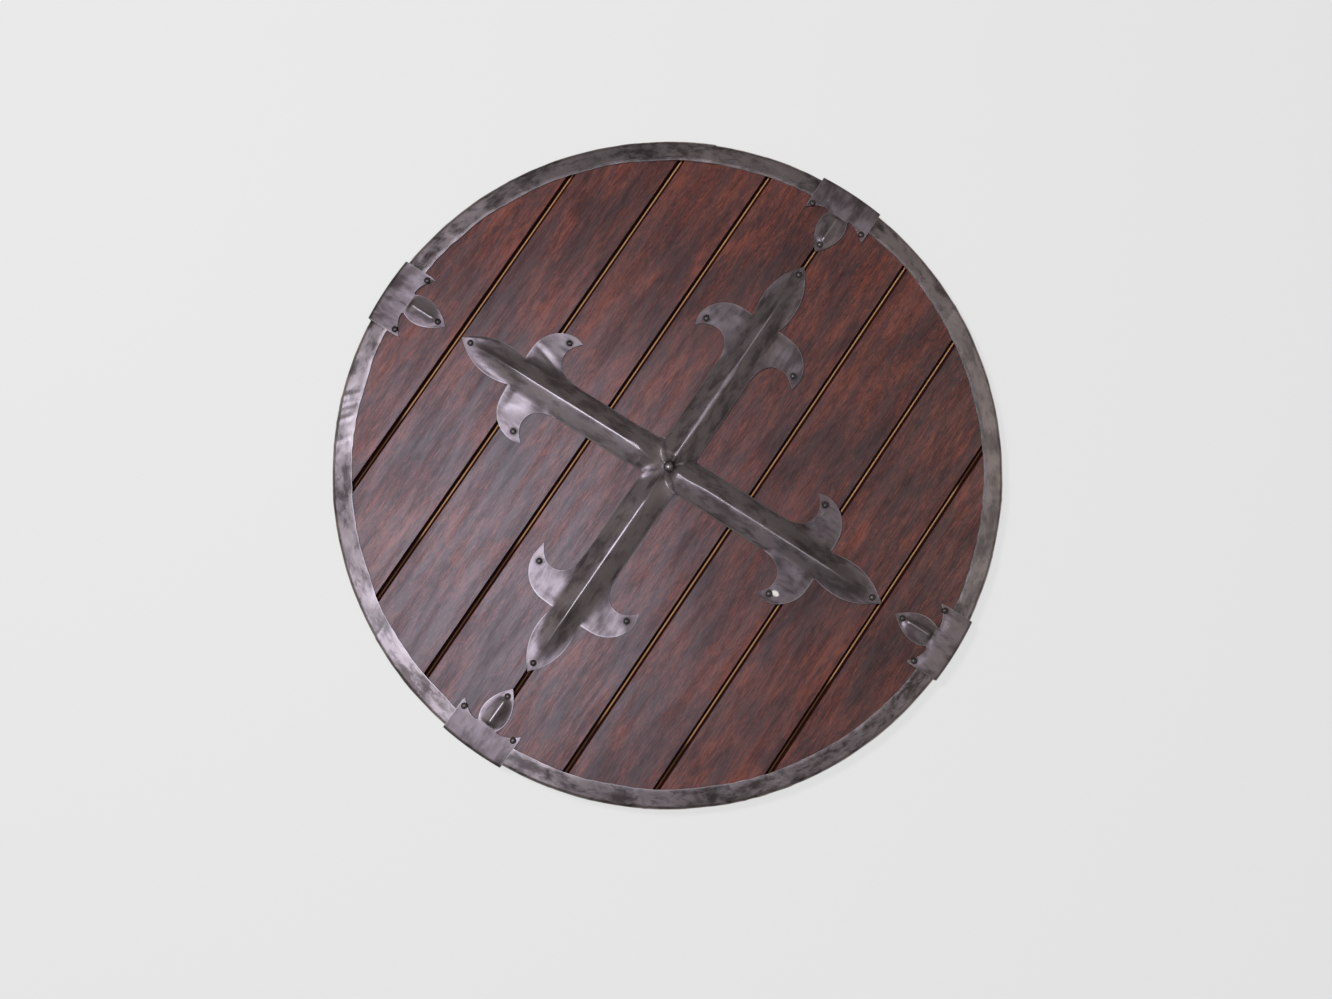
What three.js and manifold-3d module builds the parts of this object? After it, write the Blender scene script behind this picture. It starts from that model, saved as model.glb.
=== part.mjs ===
// Round wooden shield: eight tongue-and-groove boards held by a folded sheet-steel rim, with an embossed
// fleur-de-lis cross on the face and four clips, shaped as half fleurs-de-lis, over the rim.
// Millimetres, +Z up. The shield lies on its back, face up, with +Y along the boards.

import * as THREE from 'three';
import { mergeVertices } from 'three/addons/utils/BufferGeometryUtils.js';
import Module from 'manifold-3d';

const wasm = await Module();
wasm.setup();

// Overall sizes.
const OVERALL_RADIUS = 300;
const RIM_RADIUS = 297.5;
const RIM_INNER_RADIUS = 280;
const RIM_BACK_INNER_RADIUS = 282;
const BOARD = 12;
const SHEET = 1.2;
const GAP = 0.3;
const ROUND_STEPS = 60;
const BEND_RADIUS = 3;
const FACE_BEND_STEPS = 2;
const PLAIN_BEND_STEPS = 1;

// Levels, from the clips' back legs, on which the shield rests, up to the clips' faces.
const CLIP_BACK = 0;
const RIM_BACK = CLIP_BACK + SHEET + GAP;
const BOARD_BACK = RIM_BACK + SHEET + GAP;
const BOARD_FACE = BOARD_BACK + BOARD;
const PLATE_UNDER = BOARD_FACE + GAP;
const PLATE_FACE = PLATE_UNDER + SHEET;
const CLIP_UNDER = PLATE_FACE + GAP;
const CLIP_FACE = CLIP_UNDER + SHEET;

// Board joints. Each joint's bead is at jointX; the left board has the tongue, the right one the groove.
const JOINT_PITCH = 73.9;
const MIDDLE_JOINT_X = -1.7;
const PLANK_COUNT = 8;
const GROOVE_LEFT = 3.3;
const GROOVE_RIGHT = 2.5;
const GROOVE_DEPTH = 4;
const GROOVE_WALL_LEAN = 0.9;
const BEAD_HALF_WIDTH = 0.9;
const BEAD_HEIGHT = 1.1;
const TONGUE_THICKNESS = 4;
const TONGUE_REACH = 5;
const ARRIS = 0.4;
const EDGE_CHAMFER = 2.3;
const BACK_REBATE = 0.5;
const BACK_REBATE_RADIUS = RIM_BACK_INNER_RADIUS - 1;

// Cross. Lean is how far each arm turns anticlockwise from square, as the hand-made one does.
const CROSS_CENTRE = new THREE.Vector2(-1.6, 1.5);
const ARM_HALF_WIDTH = 17;
const ARM_RIDGE = 7.5;
const DIMPLE_RADIUS = 5;
const RIDGE_FULL_AT = 24;
const RIDGE_FADES_BEFORE_TIP = 62;
const RIDGE_ENDS_BEFORE_TIP = 15;
const ARMS = [
  { name: 'top', turn: 0, lean: 0.1, reach: 218, lobe: 129.5 },
  { name: 'left', turn: 90, lean: 2.1, reach: 217, lobe: 133.3 },
  { name: 'bottom', turn: 180, lean: -0.4, reach: 218.5, lobe: 133.4 },
  { name: 'right', turn: 270, lean: 1.3, reach: 222.5, lobe: 135 },
];
const TIP_NAIL_BACK = 9;
const LOBE_NAIL_X = 46.6;

// Control points of an arm's right side. Heights are measured from the line of the two lobe nails.
const LOBE_TOP = 26;
const LOBE_FOOT = -27;
const LOBE_OUTER = [[24, LOBE_TOP], [41, LOBE_TOP], [54, 13], [54, -3]];
const LOBE_UNDER_TIP = [[52, -11], [44.5, -1.8], [35.5, -1.6]];
const LOBE_UNDER_ARM = [[35.5, -1.6], [24.5, -1.6], [ARM_HALF_WIDTH, -10], [ARM_HALF_WIDTH, LOBE_FOOT]];
const OUTER_STEPS = 5;
const UNDER_TIP_STEPS = 3;
const UNDER_ARM_STEPS = 4;

// Control points of the leaf's right side. Heights are shares of the way from its base to its tip.
const LEAF_BASE_HALF_WIDTH = 13.7;
const LEAF_SIDE = [[LEAF_BASE_HALF_WIDTH, 0], [18.5, 0.3], [19.5, 0.64], [0, 1]];
const LEAF_STEPS = 7;

// An embossed ridge, in section: its height a quarter of the way across, its foot, and its hollow.
const RIDGE_CROWN = 0.56;
const RIDGE_FOOT_INSET = 0.3;
const HOLLOW_INSET = 0.6;
const HOLLOW_DROP = SHEET + 0.02;

// Clips over the rim.
const CLIPS = [
  { name: 'top', turn: 0.4 },
  { name: 'left', turn: 91.6 },
  { name: 'bottom', turn: 178.8 },
  { name: 'right', turn: 271.4 },
];
const CLIP_HALF_WIDTH = 30.5;
const CLIP_BACK_REACH = 283;
const CLIP_STEP_RUN = 2;
const CLIP_STEP_LEAD = 0.4;
const HORN = [[29.7, 266.5], [21, 275.5], [11, 276]];
const HORN_STEPS = 4;
const HORN_SIDE_LENGTH = 3;
const PETAL_NECK_Y = 274.6;
const PETAL_TIP_Y = 236.3;
const PETAL = [[9.5, PETAL_NECK_Y], [14, 267.3], [16.5, 254.3], [0, PETAL_TIP_Y]];
const PETAL_STEPS = 7;
const PETAL_RIDGE = 4.2;
const PETAL_RIDGE_FROM = 247.2;
const PETAL_RIDGE_FULL = [257, 268];
const HORN_NAIL = new THREE.Vector2(26.1, 272.6);
const PETAL_NAIL_Y = 244.3;

// Domed nails, driven through the sheet into the boards.
const NAIL_HEAD_RADIUS = 2.9;
const CENTRE_HEAD_RADIUS = 4.2;
const NAIL_DOME = 2;
const CENTRE_DOME = 3.2;
const SHANK_RADIUS = 1.5;
const HOLE_RADIUS = 1.9;
const NAIL_POINT_LEVEL = BOARD_BACK + 3;
const NAIL_POINT_LENGTH = 3;
const NAIL_SIDES = 8;

const WOOD = { color: 0x4f312b, roughness: 0.42, metalness: 0 };
const STEEL = { color: 0x5c5456, roughness: 0.36, metalness: 0.9 };
const DARK_STEEL = { color: 0x2c2929, roughness: 0.4, metalness: 0.85 };

// Turns a closed geometry into a solid.
function solid(geometry) {
  const bare = geometry.clone();
  bare.deleteAttribute('normal');
  bare.deleteAttribute('uv');
  const merged = mergeVertices(bare, 1e-4);
  const mesh = new wasm.Mesh({
    numProp: 3,
    vertProperties: new Float32Array(merged.attributes.position.array),
    triVerts: new Uint32Array(merged.index.array),
  });
  return new wasm.Manifold(mesh);
}

// Turns a solid back into a geometry.
function geometryOf(shape) {
  const mesh = shape.getMesh();
  const geometry = new THREE.BufferGeometry();
  geometry.setAttribute('position', new THREE.BufferAttribute(new Float32Array(mesh.vertProperties), 3));
  geometry.setIndex(new THREE.BufferAttribute(new Uint32Array(mesh.triVerts), 1));
  geometry.computeVertexNormals();
  return geometry;
}

function piece(name, geometry, finish) {
  const mesh = new THREE.Mesh(geometry, new THREE.MeshStandardMaterial(finish));
  mesh.name = name;
  return mesh;
}

// A closed profile of radius and height, turned about the Z axis. It runs anticlockwise.
function turned(profile) {
  const closed = [...profile, profile[0]];
  return new THREE.LatheGeometry(closed, ROUND_STEPS).rotateX(Math.PI / 2);
}

// An outline in plan, standing from the level low to the level high.
function upright(shape, low, high) {
  const settings = { depth: high - low, bevelEnabled: false };
  return new THREE.ExtrudeGeometry(shape, settings).translate(0, 0, low);
}

// Control points as vectors, with each height put through heightOf.
function controls(points, heightOf = (y) => y) {
  return points.map(([x, y]) => new THREE.Vector2(x, heightOf(y)));
}

function smoothstep(low, high, value) {
  return THREE.MathUtils.smoothstep(value, low, high);
}

// Points on a quarter bend about (x, z), from one angle to the other, in degrees.
function bend(x, z, radius, fromDegrees, toDegrees, steps) {
  return Array.from({ length: steps + 1 }, (_, i) => {
    const angle = THREE.MathUtils.degToRad(THREE.MathUtils.lerp(fromDegrees, toDegrees, i / steps));
    return new THREE.Vector2(x + radius * Math.cos(angle), z + radius * Math.sin(angle));
  });
}

// A band of sheet folded round an edge. Its legs lie at the levels back and face, and end at their radii.
function foldedBand({ outer, back, face, backEnd, frontEnd }) {
  const centreX = outer - BEND_RADIUS;
  const low = back + BEND_RADIUS;
  const high = face - BEND_RADIUS;
  const inside = BEND_RADIUS - SHEET;
  return [
    new THREE.Vector2(backEnd, back),
    ...bend(centreX, low, BEND_RADIUS, -90, 0, PLAIN_BEND_STEPS),
    ...bend(centreX, high, BEND_RADIUS, 0, 90, FACE_BEND_STEPS),
    ...frontEnd,
    ...bend(centreX, high, inside, 90, 0, PLAIN_BEND_STEPS),
    ...bend(centreX, low, inside, 0, -90, PLAIN_BEND_STEPS),
    new THREE.Vector2(backEnd, back + SHEET),
  ];
}

// Mirrors the right half of an outline, listed from the top down to the axis, into a whole one.
function mirrored(half) {
  const left = half.map((point) => new THREE.Vector2(-point.x, point.y)).reverse();
  return [...half, ...left].filter((point, i, all) => i === 0 || point.distanceTo(all[i - 1]) > 1e-6);
}

// Turns a plan outline about the Z axis, by degrees, and moves it.
function placedShape(points, degrees, centre) {
  const angle = THREE.MathUtils.degToRad(degrees);
  const origin = new THREE.Vector2();
  return new THREE.Shape(points.map((point) => point.clone().rotateAround(origin, angle).add(centre)));
}

// A block whose grid of points is moved by place(across, station, top): across runs from -1 to 1.
function shapedBlock(stationCount, place) {
  const acrossSteps = 4;
  const block = new THREE.BoxGeometry(2, 1, 1, acrossSteps, stationCount - 1, 1);
  const position = block.attributes.position;
  for (let i = 0; i < position.count; i += 1) {
    const station = Math.round((position.getY(i) + 0.5) * (stationCount - 1));
    const spot = place(position.getX(i), station, position.getZ(i) > 0);
    position.setXYZ(i, spot.x, spot.y, spot.z);
  }
  return block;
}

// A ridge like a low roof along +Y. Each station has a place y, a half-width and a height above the plate.
// Inset and drop are how far the roof lies inside and below the sheet's upper side.
function roofBlock(stations, floor, inset, drop) {
  return shapedBlock(stations.length, (across, station, top) => {
    const { y, halfWidth, height } = stations[station];
    const rise = Math.abs(across) === 1 ? 0 : height * (across === 0 ? 1 : RIDGE_CROWN);
    return new THREE.Vector3(across * (halfWidth - inset), y, top ? PLATE_FACE + rise - drop : floor);
  });
}

function roof(stations) {
  return roofBlock(stations, PLATE_UNDER + 0.1, 0, 0);
}

function hollowUnder(stations) {
  return roofBlock(stations, PLATE_UNDER - 1, HOLLOW_INSET, HOLLOW_DROP);
}

// An embossed sheet: the flat plate with its roofs, less the hollows under them.
function embossed(plate, roofs, hollows) {
  const raised = roofs.reduce((sum, each) => sum.add(each), plate);
  return hollows.reduce((rest, each) => rest.subtract(each), raised);
}

function turnAbout(geometry, degrees, centre) {
  return geometry.rotateZ(THREE.MathUtils.degToRad(degrees)).translate(centre.x, centre.y, 0);
}

// The leaf's right side, from its base, just above the lobes, up to its tip.
function leafCurve({ reach, lobe }) {
  const base = lobe + LOBE_TOP + 0.5;
  return new THREE.CubicBezierCurve(...controls(LEAF_SIDE, (share) => base + (reach - base) * share));
}

// The right half of one arm's outline: leaf, side lobe hooking back to a point, and straight arm.
function armOutline(arm) {
  const fromLobe = (y) => arm.lobe + y;
  const outer = new THREE.CubicBezierCurve(...controls(LOBE_OUTER, fromLobe));
  const underTip = new THREE.QuadraticBezierCurve(...controls(LOBE_UNDER_TIP, fromLobe));
  const underArm = new THREE.CubicBezierCurve(...controls(LOBE_UNDER_ARM, fromLobe));
  return [
    ...leafCurve(arm).getPoints(LEAF_STEPS).reverse(),
    ...outer.getPoints(OUTER_STEPS),
    ...underTip.getPoints(UNDER_TIP_STEPS),
    ...underArm.getPoints(UNDER_ARM_STEPS).slice(1),
    new THREE.Vector2(ARM_HALF_WIDTH, -DIMPLE_RADIUS),
  ];
}

// Stations of the ridge along one arm. It dips to the middle nail and fades out in the leaf.
function armStations(arm) {
  const { lobe, reach } = arm;
  const leaf = leafCurve(arm);
  const nearMiddle = [0, DIMPLE_RADIUS, 10, 16, RIDGE_FULL_AT].map((y) => [y, ARM_HALF_WIDTH]);
  const besideLobes = [
    [lobe + LOBE_FOOT, ARM_HALF_WIDTH],
    [lobe + LOBE_FOOT + 10, ARM_HALF_WIDTH - 1],
    [lobe + LOBE_FOOT + 20, LEAF_BASE_HALF_WIDTH],
    [lobe + LOBE_TOP, LEAF_BASE_HALF_WIDTH],
  ];
  const inLeaf = [1, 2, 3, 4, 5].map((step) => {
    const point = leaf.getPoint(step / LEAF_STEPS);
    return [point.y, point.x];
  });
  return [...nearMiddle, ...besideLobes, ...inLeaf].map(([y, halfWidth]) => {
    const rising = smoothstep(DIMPLE_RADIUS, RIDGE_FULL_AT, y);
    const falling = 1 - smoothstep(reach - RIDGE_FADES_BEFORE_TIP, reach - RIDGE_ENDS_BEFORE_TIP, y);
    return { y, halfWidth: halfWidth - RIDGE_FOOT_INSET, height: ARM_RIDGE * rising * falling };
  });
}

// The right half of a clip's outline, with the petal's tip towards the shield's middle.
function clipOutline() {
  const horn = new THREE.QuadraticBezierCurve(...controls(HORN));
  const petal = new THREE.CubicBezierCurve(...controls(PETAL));
  return [
    new THREE.Vector2(CLIP_HALF_WIDTH, OVERALL_RADIUS + 2),
    new THREE.Vector2(CLIP_HALF_WIDTH, HORN[0][1] + HORN_SIDE_LENGTH),
    ...horn.getPoints(HORN_STEPS),
    ...petal.getPoints(PETAL_STEPS),
  ];
}

// Stations of the petal's ridge, from just short of its nail to its neck.
function petalStations() {
  const petal = new THREE.CubicBezierCurve(...controls(PETAL));
  const [fullFrom, fullTo] = PETAL_RIDGE_FULL;
  return [5, 4, 2, 1, 0].map((step) => {
    const { x, y } = petal.getPoint(step / PETAL_STEPS);
    const rising = smoothstep(PETAL_RIDGE_FROM, fullFrom, y);
    const falling = 1 - smoothstep(fullTo, PETAL_NECK_Y, y);
    return { y, halfWidth: x - RIDGE_FOOT_INSET, height: PETAL_RIDGE * rising * falling };
  });
}

// Where every nail goes in plan.
function nailPlaces() {
  const places = [{ name: 'nail_cross_centre', at: CROSS_CENTRE, middle: true }];
  const origin = new THREE.Vector2();
  for (const arm of ARMS) {
    const spots = {
      tip: new THREE.Vector2(0, arm.reach - TIP_NAIL_BACK),
      lobe_1: new THREE.Vector2(-LOBE_NAIL_X, arm.lobe),
      lobe_2: new THREE.Vector2(LOBE_NAIL_X, arm.lobe),
    };
    const angle = THREE.MathUtils.degToRad(arm.turn + arm.lean);
    for (const [spot, point] of Object.entries(spots)) {
      const at = point.rotateAround(origin, angle).add(CROSS_CENTRE);
      places.push({ name: `nail_cross_${arm.name}_${spot}`, at, middle: false });
    }
  }
  for (const clip of CLIPS) {
    const spots = {
      petal: new THREE.Vector2(0, PETAL_NAIL_Y),
      horn_1: new THREE.Vector2(-HORN_NAIL.x, HORN_NAIL.y),
      horn_2: HORN_NAIL.clone(),
    };
    const angle = THREE.MathUtils.degToRad(clip.turn);
    for (const [spot, point] of Object.entries(spots)) {
      const at = point.rotateAround(origin, angle);
      places.push({ name: `nail_clip_${clip.name}_${spot}`, at, middle: false });
    }
  }
  return places;
}

// A domed nail, its head on the sheet and its point inside the boards.
function nailGeometry({ at, middle }) {
  const head = middle ? CENTRE_HEAD_RADIUS : NAIL_HEAD_RADIUS;
  const dome = middle ? CENTRE_DOME : NAIL_DOME;
  const seat = PLATE_FACE + GAP;
  const profile = [
    new THREE.Vector2(0, NAIL_POINT_LEVEL),
    new THREE.Vector2(SHANK_RADIUS, NAIL_POINT_LEVEL + NAIL_POINT_LENGTH),
    new THREE.Vector2(SHANK_RADIUS, seat),
    new THREE.Vector2(head, seat),
    new THREE.Vector2(head * 0.72, seat + dome * 0.66),
    new THREE.Vector2(0, seat + dome),
  ];
  return new THREE.LatheGeometry(profile, NAIL_SIDES).rotateX(Math.PI / 2).translate(at.x, at.y, 0);
}

// All the nail holes, as one solid to cut with. They end inside the boards.
function nailHoles(places) {
  const bottom = NAIL_POINT_LEVEL - GAP;
  const height = CLIP_FACE + ARM_RIDGE - bottom;
  const holes = places.map(({ at }) => {
    const pin = new THREE.CylinderGeometry(HOLE_RADIUS, HOLE_RADIUS, height, NAIL_SIDES);
    return solid(pin.rotateX(Math.PI / 2).translate(at.x, at.y, bottom + height / 2));
  });
  return holes.reduce((sum, hole) => sum.add(hole));
}

function jointX(index) {
  return index === 4 ? MIDDLE_JOINT_X : (index - 4) * JOINT_PITCH;
}

// Section of a board, in width and height. An outer board runs past the edge, and is cut round later.
function plankSection(index) {
  const outside = RIM_RADIUS + 5;
  const tongueTop = BOARD_FACE - GROOVE_DEPTH;
  const tongueUnder = tongueTop - TONGUE_THICKNESS;
  const leftSide = [];
  if (index === 1) {
    leftSide.push([-outside, BOARD_FACE], [-outside, BOARD_BACK]);
  } else {
    const wall = jointX(index - 1) + GROOVE_RIGHT;
    const pocket = wall + TONGUE_REACH + GAP;
    leftSide.push([wall + ARRIS, BOARD_FACE], [wall, BOARD_FACE - ARRIS], [wall, tongueTop + GAP]);
    leftSide.push([pocket, tongueTop + GAP], [pocket, tongueUnder - GAP], [wall, tongueUnder - GAP]);
    leftSide.push([wall, BOARD_BACK]);
  }
  const rightSide = [];
  if (index === PLANK_COUNT) {
    rightSide.push([outside, BOARD_BACK], [outside, BOARD_FACE]);
  } else {
    const bead = jointX(index);
    const shoulder = bead + GROOVE_RIGHT - GAP;
    const tongueEnd = bead + GROOVE_RIGHT + TONGUE_REACH;
    rightSide.push([shoulder, BOARD_BACK], [shoulder, tongueUnder], [tongueEnd, tongueUnder]);
    rightSide.push([tongueEnd, tongueTop], [bead + BEAD_HALF_WIDTH, tongueTop]);
    rightSide.push([bead + BEAD_HALF_WIDTH * 0.6, tongueTop + BEAD_HEIGHT]);
    rightSide.push([bead - BEAD_HALF_WIDTH * 0.6, tongueTop + BEAD_HEIGHT]);
    rightSide.push([bead - BEAD_HALF_WIDTH, tongueTop]);
    rightSide.push([bead - GROOVE_LEFT + GROOVE_WALL_LEAN, tongueTop], [bead - GROOVE_LEFT, BOARD_FACE]);
  }
  return new THREE.Shape([...leftSide, ...rightSide].map(([x, z]) => new THREE.Vector2(x, z)));
}

// The round of the boards, inside the rim's bend. A shallow rebate in their back takes the rim's back leg,
// so that the rest of the back is one clear flat.
function boardDisc() {
  const radius = RIM_RADIUS - SHEET - GAP;
  return solid(turned([
    new THREE.Vector2(0, BOARD_BACK),
    new THREE.Vector2(BACK_REBATE_RADIUS, BOARD_BACK),
    new THREE.Vector2(BACK_REBATE_RADIUS, BOARD_BACK + BACK_REBATE),
    new THREE.Vector2(radius - EDGE_CHAMFER, BOARD_BACK + BACK_REBATE),
    new THREE.Vector2(radius, BOARD_BACK + BACK_REBATE + EDGE_CHAMFER),
    new THREE.Vector2(radius, BOARD_FACE - EDGE_CHAMFER),
    new THREE.Vector2(radius - EDGE_CHAMFER, BOARD_FACE),
    new THREE.Vector2(0, BOARD_FACE),
  ]));
}

function makePlanks(holes) {
  const disc = boardDisc();
  const length = 2 * (RIM_RADIUS + 5);
  return Array.from({ length: PLANK_COUNT }, (_, i) => {
    const extruded = new THREE.ExtrudeGeometry(plankSection(i + 1), { depth: length, bevelEnabled: false });
    const board = solid(extruded.rotateX(Math.PI / 2).translate(0, length / 2, 0));
    return piece(`plank_${i + 1}`, geometryOf(board.intersect(disc).subtract(holes)), WOOD);
  });
}

function makeRim() {
  const profile = foldedBand({
    outer: RIM_RADIUS,
    back: RIM_BACK,
    face: PLATE_FACE,
    backEnd: RIM_BACK_INNER_RADIUS,
    frontEnd: [
      new THREE.Vector2(RIM_INNER_RADIUS, PLATE_FACE),
      new THREE.Vector2(RIM_INNER_RADIUS, PLATE_UNDER),
    ],
  });
  return piece('rim_band', turned(profile), STEEL);
}

function makeCross(holes) {
  const outlines = ARMS.map((arm) => {
    const points = mirrored(armOutline(arm));
    return solid(upright(placedShape(points, arm.turn + arm.lean, CROSS_CENTRE), PLATE_UNDER, PLATE_FACE));
  });
  const plate = outlines.reduce((sum, outline) => sum.add(outline));
  const roofs = ARMS.map((arm) => {
    return solid(turnAbout(roof(armStations(arm)), arm.turn + arm.lean, CROSS_CENTRE));
  });
  const hollows = ARMS.map((arm) => {
    return solid(turnAbout(hollowUnder(armStations(arm)), arm.turn + arm.lean, CROSS_CENTRE));
  });
  return piece('cross_plate', geometryOf(embossed(plate, roofs, hollows).subtract(holes)), STEEL);
}

function makeClips(holes) {
  const stepTop = RIM_INNER_RADIUS - GAP;
  const stepFoot = stepTop - CLIP_STEP_RUN;
  const innerEnd = PETAL_TIP_Y - 5;
  const wrap = solid(turned(foldedBand({
    outer: OVERALL_RADIUS,
    back: CLIP_BACK,
    face: CLIP_FACE,
    backEnd: CLIP_BACK_REACH,
    frontEnd: [
      new THREE.Vector2(stepTop - CLIP_STEP_LEAD, CLIP_FACE),
      new THREE.Vector2(stepFoot - CLIP_STEP_LEAD, PLATE_FACE),
      new THREE.Vector2(innerEnd, PLATE_FACE),
      new THREE.Vector2(innerEnd, PLATE_UNDER),
      new THREE.Vector2(stepFoot, PLATE_UNDER),
      new THREE.Vector2(stepTop, CLIP_UNDER),
    ],
  })));
  const centre = new THREE.Vector2();
  return CLIPS.map((clip) => {
    const outline = placedShape(mirrored(clipOutline()), clip.turn, centre);
    const sheet = wrap.intersect(solid(upright(outline, CLIP_BACK - 1, CLIP_FACE + 1)));
    const ridge = solid(turnAbout(roof(petalStations()), clip.turn, centre));
    const hollow = solid(turnAbout(hollowUnder(petalStations()), clip.turn, centre));
    return piece(`clip_${clip.name}`, geometryOf(embossed(sheet, [ridge], [hollow]).subtract(holes)), STEEL);
  });
}

const group = new THREE.Group();
const places = nailPlaces();
const holes = nailHoles(places);
group.add(...makePlanks(holes), makeRim(), makeCross(holes), ...makeClips(holes));
group.add(...places.map((place) => piece(place.name, nailGeometry(place), DARK_STEEL)));

export default group;
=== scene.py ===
# %% [markdown]
# # A round boarded shield with a steel cross
# The real object is a flat disc of eight tongue-and-groove boards, 600 mm across. A strip of sheet steel is
# folded over its edge, an embossed cross with fleur-de-lis ends lies on its face, and four steel clips grip
# the rim. Domed nails hold the steel to the wood. The construction comes in as a fixed frame, and each cell
# below makes one of its pieces again as a fine surface: a formula on a grid of points, worked out by numpy.

import math

import bmesh
import bpy
import numpy as np
from mathutils import Matrix, Vector


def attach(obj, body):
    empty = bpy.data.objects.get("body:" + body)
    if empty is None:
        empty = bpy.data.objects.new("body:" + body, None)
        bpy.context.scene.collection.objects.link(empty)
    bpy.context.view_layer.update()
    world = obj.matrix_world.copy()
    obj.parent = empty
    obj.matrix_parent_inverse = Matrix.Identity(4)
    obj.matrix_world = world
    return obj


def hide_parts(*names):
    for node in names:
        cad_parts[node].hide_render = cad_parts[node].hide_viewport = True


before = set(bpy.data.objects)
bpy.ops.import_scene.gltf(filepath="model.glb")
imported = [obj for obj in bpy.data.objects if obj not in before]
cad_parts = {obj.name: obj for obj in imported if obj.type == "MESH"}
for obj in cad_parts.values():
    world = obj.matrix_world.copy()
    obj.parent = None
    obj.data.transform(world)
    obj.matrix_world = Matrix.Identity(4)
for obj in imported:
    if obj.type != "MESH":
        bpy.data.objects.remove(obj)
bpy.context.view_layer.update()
print("nodes in the frame:", len(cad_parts))

# %% [markdown]
# ## Camera
# The photograph looks almost straight down, from 1.15 m, with the boards running to its upper right. The
# camera's place was found by matching the board joints, the round edge and the middle nail. It is kept here
# as three turns and one shift, in the order in which they act on the shield.

# %% Camera at the photograph's angle
MM = 0.001
BOARD_FACE = 15.0
PHOTO_WIDTH = 1332
FOCAL_PIXELS = 1300
SENSOR_WIDTH = 36
CAMERA_TURNS = (-4.34, 1.28, -34.07)
CAMERA_SHIFT = (-3.0, -26.9, 1153.0)


def turn_matrix(degrees):
    """The turn about X of the turn about Y of the turn about Z."""
    about_x, about_y, about_z = (Matrix.Rotation(math.radians(d), 3, axis) for d, axis in zip(degrees, "XYZ"))
    return about_x @ about_y @ about_z


photo_from_shield = turn_matrix(CAMERA_TURNS)
shield_from_photo = photo_from_shield.transposed()
camera_data = bpy.data.cameras.new("photo_camera")
camera_data.sensor_width = SENSOR_WIDTH
camera_data.lens = SENSOR_WIDTH * FOCAL_PIXELS / PHOTO_WIDTH
camera = bpy.data.objects.new("photo_camera", camera_data)
bpy.context.scene.collection.objects.link(camera)
bpy.context.scene.camera = camera
camera_place = shield_from_photo @ Vector(CAMERA_SHIFT) + Vector((0, 0, BOARD_FACE))
camera.matrix_world = Matrix.Translation(camera_place * MM) @ shield_from_photo.to_4x4()
print("camera at", [round(c, 3) for c in camera.location], "lens", round(camera_data.lens, 2), "mm")

# %% [markdown]
# ## Surfaces from numpy
# Every new piece is a grid of points, computed as whole arrays. Squares join neighbouring points. Where
# columns run to the right and rows run away from the reader, the squares face the reader. Points that fall
# on each other, as at a seam or a pole, are merged afterwards.


# %% Grids, meshes and curves
def grid_squares(rows, columns, closed_rows=False, closed_columns=False, first=0):
    """The four corner numbers of every square in a grid numbered row by row, starting at first."""
    index = np.arange(rows * columns).reshape(rows, columns) + first
    if closed_rows:
        index = np.vstack([index, index[:1]])
    if closed_columns:
        index = np.hstack([index, index[:, :1]])
    corners = [index[:-1, :-1], index[:-1, 1:], index[1:, 1:], index[1:, :-1]]
    return np.stack(corners, axis=-1).reshape(-1, 4)


def make_piece(name, points, faces, attributes=None, merge=None, recalculate=False):
    """A mesh object from points in millimetres, with named numbers on each point for the shaders. The one
    called flow is a place, measured along the metal, that the smears of the steel follow."""
    mesh = bpy.data.meshes.new(name)
    mesh.from_pydata((points.reshape(-1, 3) * MM).tolist(), [], [list(face) for face in faces])
    for key, values in (attributes or {}).items():
        kind, field = ("FLOAT_VECTOR", "vector") if key == "flow" else ("FLOAT", "value")
        layer = mesh.attributes.new(key, kind, "POINT")
        layer.data.foreach_set(field, np.ascontiguousarray(values, np.float32).ravel())
    if merge is not None or recalculate:
        work = bmesh.new()
        work.from_mesh(mesh)
        if merge is not None:
            bmesh.ops.remove_doubles(work, verts=work.verts, dist=merge * MM)
        if recalculate:
            bmesh.ops.recalc_face_normals(work, faces=work.faces)
        work.to_mesh(mesh)
        work.free()
    mesh.polygons.foreach_set("use_smooth", np.ones(len(mesh.polygons), bool))
    piece = bpy.data.objects.new(name, mesh)
    bpy.context.scene.collection.objects.link(piece)
    return piece


def hand_over(piece, finish, nodes):
    """Gives a piece its finish, hangs it on the root body, and hides the nodes of the frame that it stands
    for.
    """
    piece.data.materials.append(finish)
    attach(piece, "root")
    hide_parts(*nodes)
    return piece


def smoothstep(low, high, value):
    """0 below low, 1 above high, and a smooth S between them."""
    share = np.clip((value - low) / (high - low), 0, 1)
    return share * share * (3 - 2 * share)


def bell(distance, width):
    """1 at distance 0, falling off like a bell as the distance passes the width."""
    return np.exp(-((distance / width) ** 2))


def bezier(controls, share):
    """Points of a quadratic or cubic Bezier curve at the shares 0 to 1."""
    points = [np.asarray(point, float) for point in controls]
    share = np.asarray(share, float)[:, None]
    while len(points) > 1:
        points = [a + (b - a) * share for a, b in zip(points, points[1:])]
    return points[0]


def polyline(points, share):
    """Points at equal steps of length along a line of corners."""
    points = np.asarray(points, float)
    length = np.r_[0, np.cumsum(np.hypot(*np.diff(points, axis=0).T))]
    at = np.asarray(share) * length[-1]
    return np.stack([np.interp(at, length, points[:, i]) for i in (0, 1)], axis=-1)


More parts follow.
